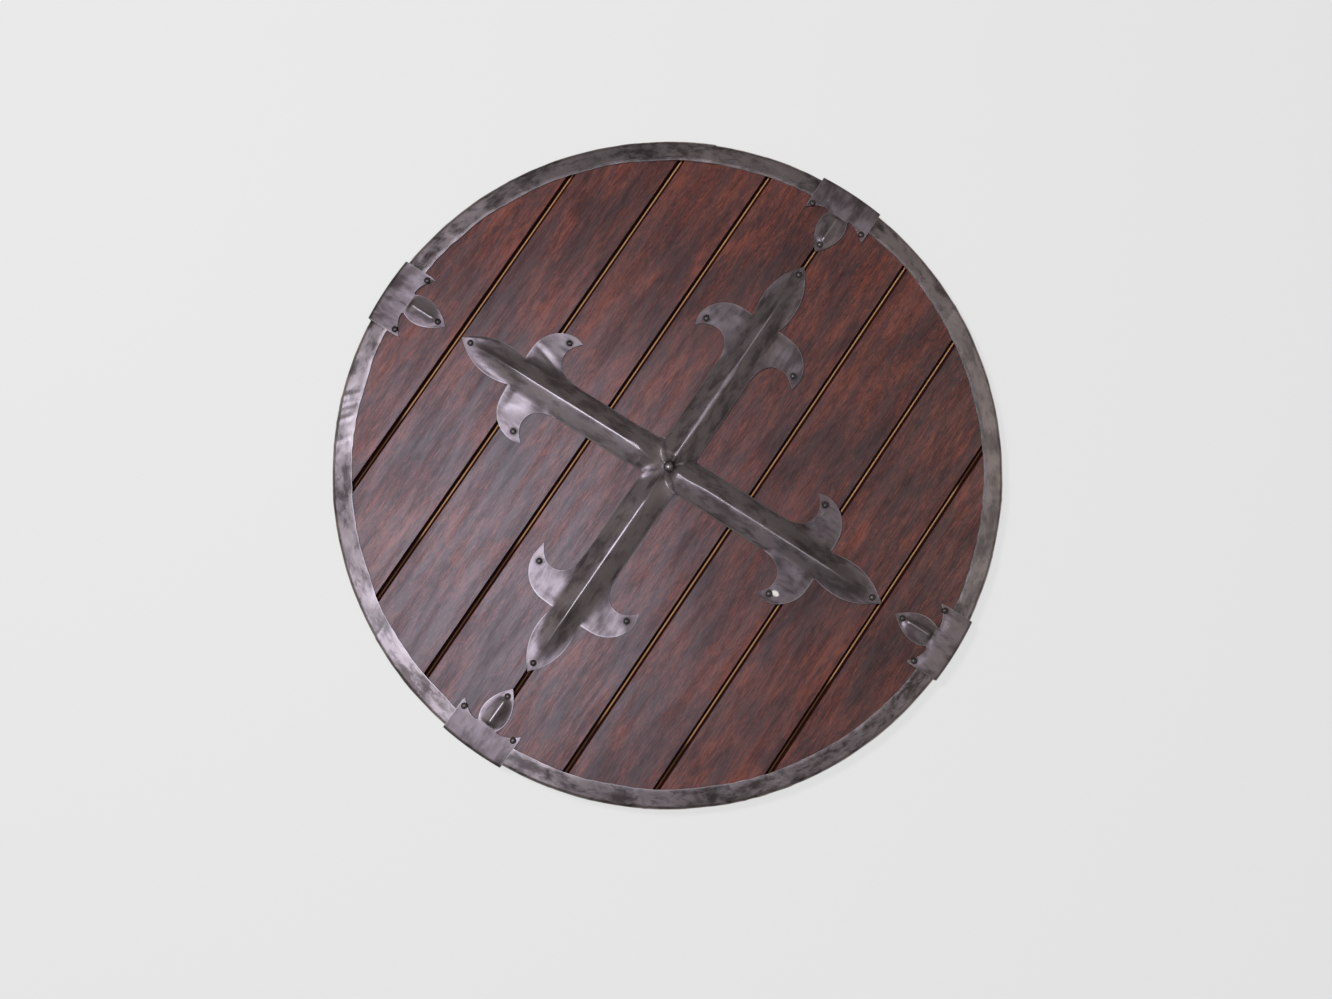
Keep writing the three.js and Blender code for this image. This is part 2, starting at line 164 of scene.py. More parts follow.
def ripple(across, along, length, seed, waves=48, round_at=None):
    """Smooth unevenness of about -1 to 1, as a sum of cosine waves of roughly one length in all directions.
    With round_at, along runs round a circle of that radius, and each wave fits it a whole number of times."""
    dice = np.random.default_rng(seed)
    heading = dice.uniform(0, math.tau, waves)
    size = math.tau / (length * dice.uniform(0.7, 1.5, waves))
    phase = dice.uniform(0, math.tau, waves)
    wave_across, wave_along = size * np.cos(heading), size * np.sin(heading)
    if round_at:
        wave_along = np.round(wave_along * round_at) / round_at
    total = np.zeros(np.broadcast(across, along).shape)
    for ka, kb, shift in zip(wave_across, wave_along, phase):
        total += np.cos(ka * across + kb * along + shift)
    return total * 0.8 / math.sqrt(waves)


def turned(points, degrees):
    """Plan points turned anticlockwise about the origin."""
    angle = np.radians(degrees)
    x, y = points[..., 0], points[..., 1]
    return np.stack([x * np.cos(angle) - y * np.sin(angle), x * np.sin(angle) + y * np.cos(angle)], axis=-1)


def fold_thickness(piece, thickness, edge_round):
    """Gives a sheet its thickness on the side away from its normals, and rounds its cut edges."""
    solid = piece.modifiers.new("thickness", "SOLIDIFY")
    solid.thickness = thickness * MM
    solid.offset = -1
    rounding = piece.modifiers.new("cut edges", "BEVEL")
    rounding.width = edge_round * MM
    rounding.segments = 2
    rounding.limit_method = "ANGLE"
    rounding.angle_limit = math.radians(60)
    rounding.harden_normals = True


print("ripple sample", ripple(np.zeros(3), np.array([0.0, 5.0, 10.0]), 20, 1).round(2))

# %% [markdown]
# ## Sums on shader sockets
# A finish is mostly arithmetic on patterns. The class below wraps a socket, so that a sum written in Python
# adds the Math nodes that work it out. One method adds any other node from its type, its settings and the
# values or links of its sockets.


# %% A socket that adds up, and one way to add nodes
class Wire:
    """A shader socket in a Python sum. Each operator adds one Math node."""

    def __init__(self, finish, socket):
        self.finish = finish
        self.socket = socket

    def math(self, operation, *values):
        return self.finish.node("ShaderNodeMath", {"operation": operation}, dict(enumerate(values)))

    def __add__(self, other):
        return self.math("ADD", self, other)

    def __radd__(self, other):
        return self.math("ADD", other, self)

    def __sub__(self, other):
        return self.math("SUBTRACT", self, other)

    def __rsub__(self, other):
        return self.math("SUBTRACT", other, self)

    def __mul__(self, other):
        return self.math("MULTIPLY", self, other)

    def __rmul__(self, other):
        return self.math("MULTIPLY", other, self)


class Finish:
    """A material under construction."""

    def __init__(self, name):
        self.material = bpy.data.materials.new(name)
        self.material.use_nodes = True
        self.tree = self.material.node_tree
        self.tree.nodes.clear()

    def node(self, kind, settings=None, inputs=None, output=0):
        """Adds a node: first its settings, then its sockets, each a number, a colour or another Wire."""
        made = self.tree.nodes.new(kind)
        for key, value in (settings or {}).items():
            if key == "stops":
                self.set_stops(made.color_ramp, value)
            else:
                setattr(made, key, value)
        for key, value in (inputs or {}).items():
            if isinstance(value, Wire):
                self.tree.links.new(value.socket, made.inputs[key])
            else:
                made.inputs[key].default_value = value
        return Wire(self, made.outputs[output])

    def set_stops(self, ramp, stops):
        while len(ramp.elements) < len(stops):
            ramp.elements.new(1)
        for element, (position, colour) in zip(ramp.elements, stops):
            element.position = position
            element.color = (*colour, 1)

    def place(self):
        """Object coordinates in millimetres."""
        coordinates = self.node("ShaderNodeTexCoord", output="Object")
        settings = {"operation": "SCALE"}
        return self.node("ShaderNodeVectorMath", settings, {0: coordinates, "Scale": 1 / MM})

    def stretched(self, vector, lengths, turn=0.0, shift=None):
        """The same coordinates turned about Z and divided by a pattern length in each direction."""
        if shift is not None:
            vector = self.node("ShaderNodeVectorMath", {"operation": "ADD"}, {0: vector, 1: shift})
        scale = [1 / length for length in lengths]
        inputs = {"Vector": vector, "Rotation": (0, 0, math.radians(turn)), "Scale": scale}
        return self.node("ShaderNodeMapping", {"vector_type": "POINT"}, inputs)

    def noise(self, vector, detail=3.0, roughness=0.55, distortion=0.0):
        """A cloudy pattern from 0 to 1 with features about one unit long."""
        inputs = {"Vector": vector, "Scale": 1.0, "Detail": detail}
        inputs |= {"Roughness": roughness, "Distortion": distortion}
        return self.node("ShaderNodeTexNoise", {"noise_dimensions": "3D"}, inputs)

    def rising(self, value, low, high):
        """0 below low, 1 above high, smooth between."""
        inputs = {"Value": value, "From Min": low, "From Max": high}
        return self.node("ShaderNodeMapRange", {"interpolation_type": "SMOOTHSTEP", "clamp": True}, inputs)

    def attribute(self, name):
        return self.node("ShaderNodeAttribute", {"attribute_name": name}, output="Fac")

    def ramp(self, value, stops):
        return self.node("ShaderNodeValToRGB", {"stops": stops}, {0: value})

    def mix(self, factor, first, second):
        """Mixes two colours. The sockets 6 and 7 are the Mix node's colours."""
        settings = {"data_type": "RGBA", "blend_type": "MIX"}
        first, second = ((*c, 1) if isinstance(c, tuple) else c for c in (first, second))
        return self.node("ShaderNodeMix", settings, {0: factor, 6: first, 7: second}, output=2)

    def bump(self, height, distance):
        """Raises the surface by height times distance, in millimetres."""
        inputs = {"Height": height, "Distance": distance * MM, "Strength": 1.0}
        return self.node("ShaderNodeBump", None, inputs)

    def done(self, **inputs):
        """Ends in a Principled shader. Spaces in a socket's name are written as underscores."""
        named = {key.replace("_", " "): value for key, value in inputs.items()}
        shader = self.node("ShaderNodeBsdfPrincipled", None, named)
        output = self.tree.nodes.new("ShaderNodeOutputMaterial")
        self.tree.links.new(shader.socket, output.inputs["Surface"])
        print("finish", self.material.name, "has", len(self.tree.nodes), "nodes")
        return self.material


# %% [markdown]
# ## Floor, light and air
# The photograph has a plain pale ground. The steel is a mirror of what is above it, so the light decides how
# it looks. One soft panel hangs level above the photo's left half: the flat steel there mirrors it, and the
# satin wood shows it as a lilac haze, while everything to the right mirrors a dim room, in which a narrow
# and much weaker panel hangs. Two more weak panels stand far to the left, where only the sloping sides of
# the ridges mirror them. A small strong lamp at the upper left gives the grooves their shadow side, and is
# kept out of the mirror images, because none of them shows such a spot.


# %% Floor and lamps
def beside_camera(right, up, height):
    """A place in metres, measured to the photograph's right and up from the shield's middle."""
    level = shield_from_photo @ Vector((right, up, 0))
    return Vector((level.x, level.y, height))


def add_panel(name, place, size, brightness, colour, target):
    """A rectangular lamp that faces its target, or straight down, square to the photograph, without one. Its
    power is its brightness times its area times pi."""
    data = bpy.data.lights.new(name, "AREA")
    data.shape = "RECTANGLE"
    data.size, data.size_y = size
    data.energy = brightness * size[0] * size[1] * math.pi
    data.color = colour
    lamp = bpy.data.objects.new(name, data)
    bpy.context.scene.collection.objects.link(lamp)
    aim = shield_from_photo
    if target is not None:
        aim = (target - place).to_track_quat("-Z", "Y").to_matrix()
    lamp.matrix_world = Matrix.Translation(place) @ aim.to_4x4()
    lamp.visible_camera = False
    return lamp


# The floor lies a hair below the clips' backs, so that no two surfaces fall together.
FLOOR_RADIUS, FLOOR_Z = 40.0, -0.1
floor_ring = np.linspace(0, math.tau, 64, endpoint=False)
floor_points = np.stack([np.cos(floor_ring), np.sin(floor_ring), 0 * floor_ring], axis=-1) * FLOOR_RADIUS / MM
floor_points[:, 2] = FLOOR_Z
floor = make_piece("floor", floor_points, [range(64)])
paper = Finish("pale ground")
floor.data.materials.append(
    paper.done(
        Base_Color=(0.10, 0.10, 0.10, 1),
        Roughness=0.9,
        Specular_IOR_Level=0.0,
        Emission_Color=(1, 1, 1, 1),
        Emission_Strength=0.69,
    )
)

middle = beside_camera(0, 0, 0)
# Each lamp's place to the right, up and in height, its size, brightness and colour, and what it faces.
LAMPS = {
    "soft panel": ((-0.36, -0.04, 1.5), (0.66, 0.76), 3.3, (0.80, 0.82, 1.0), None),
    "lower left panel": ((-1.4, -0.95, 1.4), (1.1, 1.1), 0.30, (0.88, 0.93, 1.0), middle),
    "left panel": ((-1.8, 0.35, 1.35), (1.0, 1.3), 0.30, (1.0, 0.96, 0.97), middle),
    "right panel": ((0.70, 0.10, 1.5), (0.20, 0.75), 0.80, (1.0, 0.92, 0.88), None),
    "key lamp": ((-1.03, 0.70, 2.0), (0.4, 0.4), 90.0, (1.0, 0.96, 0.92), middle),
}
lamps = {name: add_panel(name, beside_camera(*place), *rest) for name, (place, *rest) in LAMPS.items()}
lamps["key lamp"].visible_glossy = False

air = bpy.data.worlds.new("room")
bpy.context.scene.world = air
air.use_nodes = True
air_nodes = air.node_tree.nodes
air_nodes["Background"].inputs["Color"].default_value = (1, 0.97, 0.97, 1)
air_nodes["Background"].inputs["Strength"].default_value = 0.20
bpy.context.scene.view_settings.view_transform = "Standard"
print("lamps:", list(lamps))

# %% [markdown]
# ## Stained boards
# The wood is dark red-brown with grey-black clouds, thin reddish streaks and fine fibres, under a satin
# coat. The pattern is made of noise stretched along the boards and turned a few degrees, because the fibres
# don't quite follow the joints. Each board carries a number that shifts its pattern, so no streak runs on
# across a joint. The groove is painted nearly black, a painted shade for its depth, and its bead is bare
# golden wood that darkens towards its foot, also painted shade.


# %% Finish of the boards
def make_board_finish():
    wood = Finish("stained boards")
    number = wood.attribute("board_number")
    bead, groove = wood.attribute("bare_bead"), wood.attribute("in_groove")
    apart = {"X": number * 37.0, "Y": number * 91.0, "Z": number * 53.0}
    shift = wood.node("ShaderNodeCombineXYZ", None, apart)
    place = wood.place()

    def grain(lengths, turn, detail, roughness, distortion=0.0):
        """Noise with features this long across, along and through the board, turned a few degrees."""
        return wood.noise(wood.stretched(place, lengths, turn, shift), detail, roughness, distortion)

    clouds = grain((24, 80, 40), -6, 5, 0.62, 0.3)
    streaks = grain((3.6, 42, 8), -6, 4, 0.62, 0.2)
    fibres = grain((0.9, 11, 3), -8, 3, 0.65)
    blotches = grain((15, 34, 20), -6, 5, 0.68)
    sheen = grain((8, 70, 20), -3, 4, 0.55, 0.4)
    pores = grain((0.5, 3.5, 1), -8, 2, 0.7)
    tone = wood.ramp(
        0.30 * clouds + 0.12 * streaks + 0.30 * fibres + 0.28 * pores,
        [
            (0.430, (0.024, 0.0065, 0.0068)),
            (0.475, (0.046, 0.0120, 0.0105)),
            (0.520, (0.084, 0.0205, 0.0145)),
            (0.580, (0.165, 0.0400, 0.0230)),
        ],
    )
    smoke = wood.rising(blotches, 0.50, 0.66)
    tone = wood.mix(smoke * 0.5, tone, (0.028, 0.0105, 0.0110))
    red = wood.rising(0.20 * streaks + 0.30 * fibres + 0.50 * clouds, 0.53, 0.65)
    tone = wood.mix(red * 0.35 * (1 - smoke), tone, (0.190, 0.0470, 0.0240))
    # Painted shade: the groove is painted nearly black, standing in for the shade deep inside it.
    tone = wood.mix(groove, tone, (0.020, 0.0050, 0.0030))
    gold = wood.mix(
        wood.noise(wood.stretched(place, (3, 30, 3)), detail=2),
        (0.26, 0.135, 0.060),
        (0.54, 0.320, 0.165),
    )
    # Bare golden wood on the bead, darker towards its foot as painted shade.
    tone = wood.mix(bead, tone, gold)
    lacquer = wood.rising(0.70 * sheen + 0.30 * fibres, 0.36, 0.62)
    relief = wood.bump(fibres * 0.6 + streaks, 0.04)
    return wood.done(
        Base_Color=tone,
        Roughness=0.55 + 0.3 * groove,
        Normal=relief,
        Specular_IOR_Level=0.15,
        Coat_Weight=(0.58 + 0.42 * lacquer) * (1 - groove) * (1 - bead),
        Coat_Roughness=0.32,
        Coat_IOR=1.9,
    )


board_finish = make_board_finish()

# %% [markdown]
# ## Burnished steel
# The steel was blackened and then burnished, so it is bright where hands and tools rub it, on ridges and cut
# edges, and dark and brownish in hollows. Two numbers on each point say how bright and how dark it is there.
# The bright one is wear, and on the roots of some lobes and on the middle nail's top also painted highlight.
# The dark one is grime and patina, and on the folds' outer sides, round the cross's nails and at the nails'
# feet also painted shade. A third marks one pale spot beside a nail, a painted glint. Clouds and smears of
# noise vary the colour and the gloss, and keep the steel from being a perfect mirror.


# %% Finish of the sheet steel
def make_steel_finish(name, dark, bright, brush):
    """Clouds a few centimetres wide and smears as long as the brush says, both along the metal's flow."""
    steel = Finish(name)
    worn, grimy, pale = (steel.attribute(key) for key in ("worn", "grimy", "pale"))
    flow = steel.node("ShaderNodeAttribute", {"attribute_name": "flow"}, output="Vector")
    clouds = steel.noise(steel.stretched(flow, (16, 38, 30)), detail=4, roughness=0.6)
    smears = steel.noise(steel.stretched(flow, brush), detail=5, roughness=0.62, distortion=0.5)
    specks = steel.noise(steel.stretched(steel.place(), (1.6, 1.6, 1.6)), detail=3, roughness=0.6)
    body = steel.mix(steel.rising(0.55 * clouds + 0.45 * smears, 0.38, 0.62), dark, bright)
    brown = steel.rising(0.4 * clouds + 0.6 * smears, 0.50, 0.62)
    body = steel.mix(brown * 0.4, body, (0.25, 0.175, 0.150))
    # Grime and patina, and painted shade: where the dark number is high the steel is painted nearly black,
    # also on the folds' outer sides, round the cross's nails and at the nails' feet.
    body = steel.mix(grimy * 0.85, body, (0.040, 0.032, 0.030))
    # Wear, and painted highlight: the bright number paints worn edges and ridges pale, and also some lobes'
    # roots and the middle nail's top.
    body = steel.mix(worn * (0.70 + 0.30 * specks), body, (0.56, 0.52, 0.50))
    # Painted glint: the spot beside a nail is painted pale and not metal.
    body = steel.mix(pale, body, (0.74, 0.72, 0.68))
    gloss = 0.24 + 0.14 * smears + 0.06 * specks + 0.2 * grimy - 0.08 * worn
    relief = steel.bump(smears * 0.8 + specks * 0.2, 0.02)
    return steel.done(Base_Color=body, Metallic=1 - pale, Roughness=gloss, Normal=relief)


# Each steel's dark and bright colour, and the lengths of its smears in mm.
CROSS_STEEL = (0.19, 0.150, 0.150), (0.47, 0.405, 0.410), (6, 20, 9)
RIM_STEEL = (0.13, 0.104, 0.098), (0.54, 0.465, 0.450), (4, 10, 10)
NAIL_STEEL = (0.10, 0.090, 0.085), (0.22, 0.200, 0.190), (2, 2, 2)
cross_finish = make_steel_finish("burnished cross steel", *CROSS_STEEL)
rim_finish = make_steel_finish("hammered rim steel", *RIM_STEEL)
nail_finish = make_steel_finish("blackened nail steel", *NAIL_STEEL)

# %% [markdown]
# ## The boards
# A board's section is one closed outline: face, groove wall, ledge, bead and tongue on its right, back, and
# a pocket for its neighbour's tongue on its left. The section is carried along the board, and each of its
# points travels to where it meets the circle inside the rim, so the board's end is cut round by the formula
# itself: y = share * sqrt(R^2 - x^2).

# %% Levels and joints
BOARD_BACK = 3.0
BOARD_RADIUS = 295.2
JOINT_PITCH = 73.9
MIDDLE_JOINT_X = -1.7
BOARD_COUNT = 8
GROOVE_LEFT, GROOVE_RIGHT = 3.3, 2.5
GROOVE_DEPTH, WALL_LEAN = 4.0, 0.9
BEAD_HALF_WIDTH, BEAD_HEIGHT = 0.85, 1.2
TONGUE_THICKNESS, TONGUE_REACH = 4.0, 5.0
GAP, ARRIS = 0.3, 0.4
# The two outer boards end in a straight edge of twice this length.
OUTSIDE_HALF_LENGTH = 17
# Stretches of each bead that are stained dark instead of golden, in mm along the board.
DARK_BEADS = {
    1: [(-300, -95)], 2: [(-300, -172)], 3: [(-300, -130)], 4: [(-300, -200)],
    5: [(-300, -215)], 6: [(-300, -190)], 7: [(-300, -76), (130, 300)],
}


def joint_x(index):
    return MIDDLE_JOINT_X if index == 4 else (index - 4) * JOINT_PITCH


print("joints at", [round(joint_x(index), 1) for index in range(1, BOARD_COUNT)], "mm")


# %% One board
def board_section(number):
    """The closed section of a board as points (x, z), clockwise from the face's left end, with a number for
    each point that says whether it lies in the groove (1) or on the bead (2)."""
    tongue_top = BOARD_FACE - GROOVE_DEPTH
    tongue_under = tongue_top - TONGUE_THICKNESS
    outside = math.sqrt(BOARD_RADIUS**2 - OUTSIDE_HALF_LENGTH**2)
    wall = joint_x(number - 1) + GROOVE_RIGHT
    pocket = wall + TONGUE_REACH + GAP
    bead = joint_x(number)
    shoulder = bead + GROOVE_RIGHT - GAP
    tongue_end = bead + GROOVE_RIGHT + TONGUE_REACH
    first, last = number == 1, number == BOARD_COUNT
    face_left = -outside if first else wall + ARRIS
    face_right = outside if last else bead - GROOVE_LEFT
    across = np.linspace(face_left, face_right, 40)
    points = [(x, BOARD_FACE, 0) for x in across]
    if last:
        points += [(outside, BOARD_BACK, 0)]
    else:
        points += [(face_right + 0.15, BOARD_FACE - 0.35, 0.6)]
        points += [(bead - GROOVE_LEFT + WALL_LEAN, tongue_top, 1), (bead - BEAD_HALF_WIDTH, tongue_top, 1)]
        for angle in np.linspace(160, 20, 6):
            x = bead + BEAD_HALF_WIDTH * math.cos(math.radians(angle))
            points += [(x, tongue_top + BEAD_HEIGHT * math.sin(math.radians(angle)), 2)]
        points += [(bead + BEAD_HALF_WIDTH, tongue_top, 1), (tongue_end, tongue_top, 1)]
        points += [(tongue_end, tongue_under, 1), (shoulder, tongue_under, 1), (shoulder, BOARD_BACK, 0)]
    back_left = -outside if first else wall
    points += [(x, BOARD_BACK, 0) for x in np.linspace(points[-1][0], back_left, 12)[1:]]
    if not first:
        points += [(wall, tongue_under - GAP, 1), (pocket, tongue_under - GAP, 1)]
        points += [(pocket, tongue_top + GAP, 1), (wall, tongue_top + GAP, 1)]
        points += [(wall, BOARD_FACE - 1.2, 1), (wall, BOARD_FACE - ARRIS, 0.5)]
    return np.array(points)


def make_board(number):
    """Carries the section along the board: y = share * sqrt(R^2 - x^2). Its face is slightly uneven."""
    section = board_section(number)
    x, z, kind = section.T
    share = np.linspace(-1, 1, 90)[:, None]
    y = share * np.sqrt(BOARD_RADIUS**2 - x**2)
    x, z, kind = (np.broadcast_to(values, y.shape) for values in (x, z, kind))
    on_face = (z == BOARD_FACE) & (kind == 0)
    z = z + on_face * (0.05 * ripple(x, y / 4, 30, 100 + number) - 0.03)
    bead_top = BOARD_FACE - GROOVE_DEPTH + BEAD_HEIGHT
    # The bead is bare golden wood, and its gold fades towards the bead's foot as painted shade.
    bare_wood_and_shade = (kind == 2) * (1 - 0.75 * smoothstep(0.1, 0.9, (bead_top - z) / BEAD_HEIGHT))
    for low, high in DARK_BEADS.get(number, []):
        bare_wood_and_shade = bare_wood_and_shade * (1 - 0.85 * smoothstep(low - 6, low + 6, y) * (1 - smoothstep(high - 6, high + 6, y)))
    points = np.stack([x, y, z], axis=-1)
    rows, columns = y.shape
    faces = grid_squares(rows, columns, closed_columns=True).tolist()
    faces += [list(range(columns)), list(range((rows - 1) * columns, rows * columns))]
    own_number = np.full(y.shape, float(number))
    numbers = {"board_number": own_number, "in_groove": np.clip(kind, 0, 1), "bare_bead": bare_wood_and_shade}
    board = make_piece(f"board_{number}", points, faces, numbers, recalculate=True)
    board.data.set_sharp_from_angle(angle=math.radians(35))
    return hand_over(board, board_finish, [f"plank_{number}"])


boards = [make_board(number) for number in range(1, BOARD_COUNT + 1)]
print("boards:", len(boards), "with", len(boards[1].data.vertices), "points each")

# %% [markdown]
# ## A folded band
# Both the rim and the clips are sheet folded over the edge. In section each is one path: out along the back,
# up round the edge, and in along the face. The path's outer side is worked out here with its normals, so
# that dents can push it in and out and the other side can follow at the sheet's thickness.

# %% Path of a fold
SHEET, CUT_EDGE_ROUND = 1.2, 0.3
RIM_RADIUS, RIM_BACK, RIM_FACE = 297.5, 1.5, 16.5
RIM_INNER, RIM_BACK_INNER = 280.0, 282.0
BEND = 3.0


def fold_path(outer, back, face, back_end, face_end, counts=(8, 7, 5, 9, 18)):
    """Points (radius, z) and normals of the outer side of a fold: back leg, bend, side, bend, face leg."""
    centre = outer - BEND
    low, high = back + BEND, face - BEND
    on_back, on_low_bend, on_side, on_high_bend, on_face = counts
    bends = []
    for first, last, z, steps in ((-90, 0, low, on_low_bend), (0, 90, high, on_high_bend)):
        angle = np.radians(np.linspace(first, last, steps))
        normal = np.stack([np.cos(angle), np.sin(angle)], axis=-1)
        bends.append((np.array([centre, z]) + BEND * normal, normal))
    back_leg = np.linspace((back_end, back), (centre, back), on_back)[:-1]
    side = np.linspace((outer, low), (outer, high), on_side + 2)[1:-1]
    face_leg = np.linspace((centre, face), (face_end, face), on_face)[1:]
    points = np.concatenate([back_leg, bends[0][0], side, bends[1][0], face_leg])
    normals = np.concatenate([
        np.tile([0.0, -1.0], (len(back_leg), 1)),
        bends[0][1],
        np.tile([1.0, 0.0], (len(side), 1)),
        bends[1][1],
        np.tile([0.0, 1.0], (len(face_leg), 1)),
    ])
    return points, normals


rim_points, rim_normals = fold_path(RIM_RADIUS, RIM_BACK, RIM_FACE, RIM_BACK_INNER, RIM_INNER)
print("the rim's fold has", len(rim_points), "points")

# %% [markdown]
# ## The rim
# The strip was folded over the boards by hand, so its face is full of soft dents, a few sharp puckers and a
# slightly wavy cut edge. The surface is the fold's path carried round the circle: radius and height come
# from the path, pushed along its normal by ripples of three lengths, by puckers at the angles where the
# photograph shows them, and by the step of the lap where the strip's ends meet.

# %% Rim band
# Each step makes 180 triangles, so this many keep the rim under 200,000.
RIM_STEPS = 1080
# The largest radius that leaves the rim room inside the clips.
RIM_LIMIT = 298.6
LAP_ANGLE = 116.0
# Puckers: angle in degrees, width in mm, and height in mm.
PUCKERS = [(201, 2.2, 0.3), (203, 1.8, -0.3), (205.2, 2.1, 0.28), (209, 2.4, 0.25), (187, 2.6, -0.3),
           (241, 1.8, -0.45), (243.5, 1.6, 0.4), (28, 2.0, 0.35), (22, 1.8, -0.4), (18, 1.8, 0.3),
           (325, 2.4, -0.4), (316, 2.0, 0.35), (309, 2.2, -0.35), (299, 2.0, 0.3), (283, 2.4, -0.3),
           (152, 2.5, 0.25), (96, 2.5, -0.25), (63, 2.2, 0.25)]
# Stretches that were rubbed bright, and others that stayed dark: from and to in degrees, and how much.
RUBBED = [(8, 66, 0.35), (200, 212, 0.25), (238, 250, 0.20), (262, 276, 0.25)]
TARNISHED = [(85, 108, 0.25), (122, 158, 0.45), (217, 232, 0.30), (285, 320, 0.45), (320, 347, 0.15)]


def stretches(degrees, listed):
    """The amount of each listed stretch of angle, faded over ten degrees at its ends."""
    total = 0 * degrees
    for low, high, amount in listed:
        inside = smoothstep(low - 5, low + 5, degrees) * (1 - smoothstep(high - 5, high + 5, degrees))
        total = total + amount * inside
    return total


def make_rim():
    """The fold's path at each angle, pushed along its normal by dents, puckers and the lap."""
    angle = np.linspace(0, math.tau, RIM_STEPS, endpoint=False)[:, None]
    length = np.r_[0, np.cumsum(np.hypot(*np.diff(rim_points, axis=0).T))][None, :]
    from_edge = length[:, -1:] - length
    around = angle * RIM_RADIUS
    dents = 0.035 * ripple(length, around, 9, 11, round_at=RIM_RADIUS)
    dents += 0.14 * ripple(length, around, 24, 12, round_at=RIM_RADIUS)
    dents += 0.16 * ripple(length * 0.3, around, 60, 13, round_at=RIM_RADIUS)
    on_face = smoothstep(26, 19, from_edge)
    shift = dents * (0.35 + 0.65 * on_face)
    degrees = np.degrees(angle)
    for at, width, height in PUCKERS:
        away = (degrees - at - 0.10 * (from_edge - 9)) * math.radians(1) * RIM_RADIUS
        shift = shift + height * bell(away, width) * on_face * smoothstep(-1, 6, from_edge)
    past_lap = (degrees - LAP_ANGLE) * math.radians(1) * RIM_RADIUS
    shift = shift + 0.8 * smoothstep(-0.6, 0.2, past_lap) * (1 - smoothstep(4, 70, past_lap)) * on_face
    room_below = 1.0 - 0.75 * on_face
    shift = np.maximum(shift, -room_below)
    trim = 0.5 * ripple(0 * angle, around, 55, 14, round_at=RIM_RADIUS)
    trim += 0.25 * ripple(0 * angle, around, 14, 15, round_at=RIM_RADIUS)
    trim = trim * smoothstep(12, 0, from_edge)
    outer_radius = rim_points[:, 0] + shift * rim_normals[:, 0] + trim
    outer_z = rim_points[:, 1] + shift * rim_normals[:, 1] - 0.25 * smoothstep(2.5, 0, from_edge)
    inner_radius = outer_radius - SHEET * rim_normals[:, 0]
    inner_z = outer_z - SHEET * rim_normals[:, 1]
    radius = np.concatenate([outer_radius, inner_radius[:, ::-1]], axis=1)
    z = np.concatenate([outer_z, inner_z[:, ::-1]], axis=1)
    radius = np.minimum(radius, RIM_LIMIT)
    points = np.stack([radius * np.cos(angle), radius * np.sin(angle), z], axis=-1)
    edge_wear = 0.75 * bell(from_edge, 0.5) + 0 * angle
    edge_wear = np.maximum(edge_wear, stretches(degrees, RUBBED) * on_face)
    # Patina and painted shade: the outer side of the fold is painted dark.
    side_patina_and_shade = bell(from_edge - 22.5, 2.4) * 0.7 + stretches(degrees, TARNISHED)
    hollow_grime = np.clip(-shift * 1.2, 0, 0.5) * on_face
    worn = np.concatenate([edge_wear, edge_wear[:, ::-1]], axis=1)
    grimy = np.concatenate([np.clip(side_patina_and_shade + hollow_grime, 0, 1), np.ones_like(edge_wear)], axis=1)
    inside_path = 60
    across = np.concatenate([from_edge, from_edge[:, ::-1] + inside_path], axis=1) + 0 * angle
    circle = [RIM_RADIUS * np.cos(angle) + 0 * across, RIM_RADIUS * np.sin(angle) + 0 * across]
    flow = np.stack([across, *circle], axis=-1)
    rows, columns = radius.shape
    faces = grid_squares(rows, columns, closed_rows=True, closed_columns=True)
    numbers = {"worn": worn, "grimy": grimy, "flow": flow}
    rim = make_piece("rim", points, faces.tolist(), numbers, recalculate=True)
    rim.data.set_sharp_from_angle(angle=math.radians(60))
    return hand_over(rim, rim_finish, ["rim_band"])


rim = make_rim()
print("rim points:", len(rim.data.vertices))

# %% [markdown]
# ## The cross
# The cross was cut from one sheet and hammered over a ridge along each arm. Seen from above an arm is a
# strip: a straight part, the place where the two side lobes leave it, and a leaf. Each strip is a grid of
# stations along the arm and shares across it. In the middle the four strips meet on the diagonals, so they
# close without a seam. Each lobe is a second grid, stretched between its two cut edges.

# %% Outline of an arm
PLATE_FACE = 16.5
CROSS_CENTRE = np.array([-1.6, 1.5])
ARM_HALF_WIDTH, ARM_RIDGE, CORNER_END = 17.0, 7.5, 22.0
# Corners are the radii where an arm meets its neighbours, on its left and on its right. Start is where the
# ridge begins to rise and where it is full, and bend is how far its start is pushed to the arm's right.
ARM_VALUES = ("turn", "lean", "reach", "lobe", "corners", "start", "bend")
ARMS = {
    name: dict(zip(ARM_VALUES, values))
    for name, values in {
        "top": (0, 0.1, 218.0, 129.5, (5.0, 1.5), (0, 12), -0.4),
        "left": (90, 2.1, 217.0, 133.3, (1.5, 5.0), (4, 32), -3.0),
        "bottom": (180, -0.4, 218.5, 133.4, (2.0, 1.5), (2, 40), 1.0),
        "right": (270, 1.3, 222.5, 135.0, (1.5, 2.0), (0, 11), 1.2),
    }.items()
}
LOBE_TOP, LOBE_FOOT = 26.0, -27.0
LOBE_OUTER = [(24, LOBE_TOP), (41, LOBE_TOP), (54, 13), (54, -3)]
LOBE_UNDER_TIP = [(52, -11), (44.5, -1.8), (35.5, -1.6)]
LOBE_UNDER_ARM = [(35.5, -1.6), (24.5, -1.6), (ARM_HALF_WIDTH, -10), (ARM_HALF_WIDTH, LOBE_FOOT)]
LEAF_BASE = 13.7
LEAF_SIDE = [(LEAF_BASE, 0), (18.5, 0.3), (19.5, 0.64), (0, 1)]
LOBE_NAIL_X, TIP_NAIL_BACK = 46.6, 9.0
ACROSS = np.linspace(-1, 1, 37)
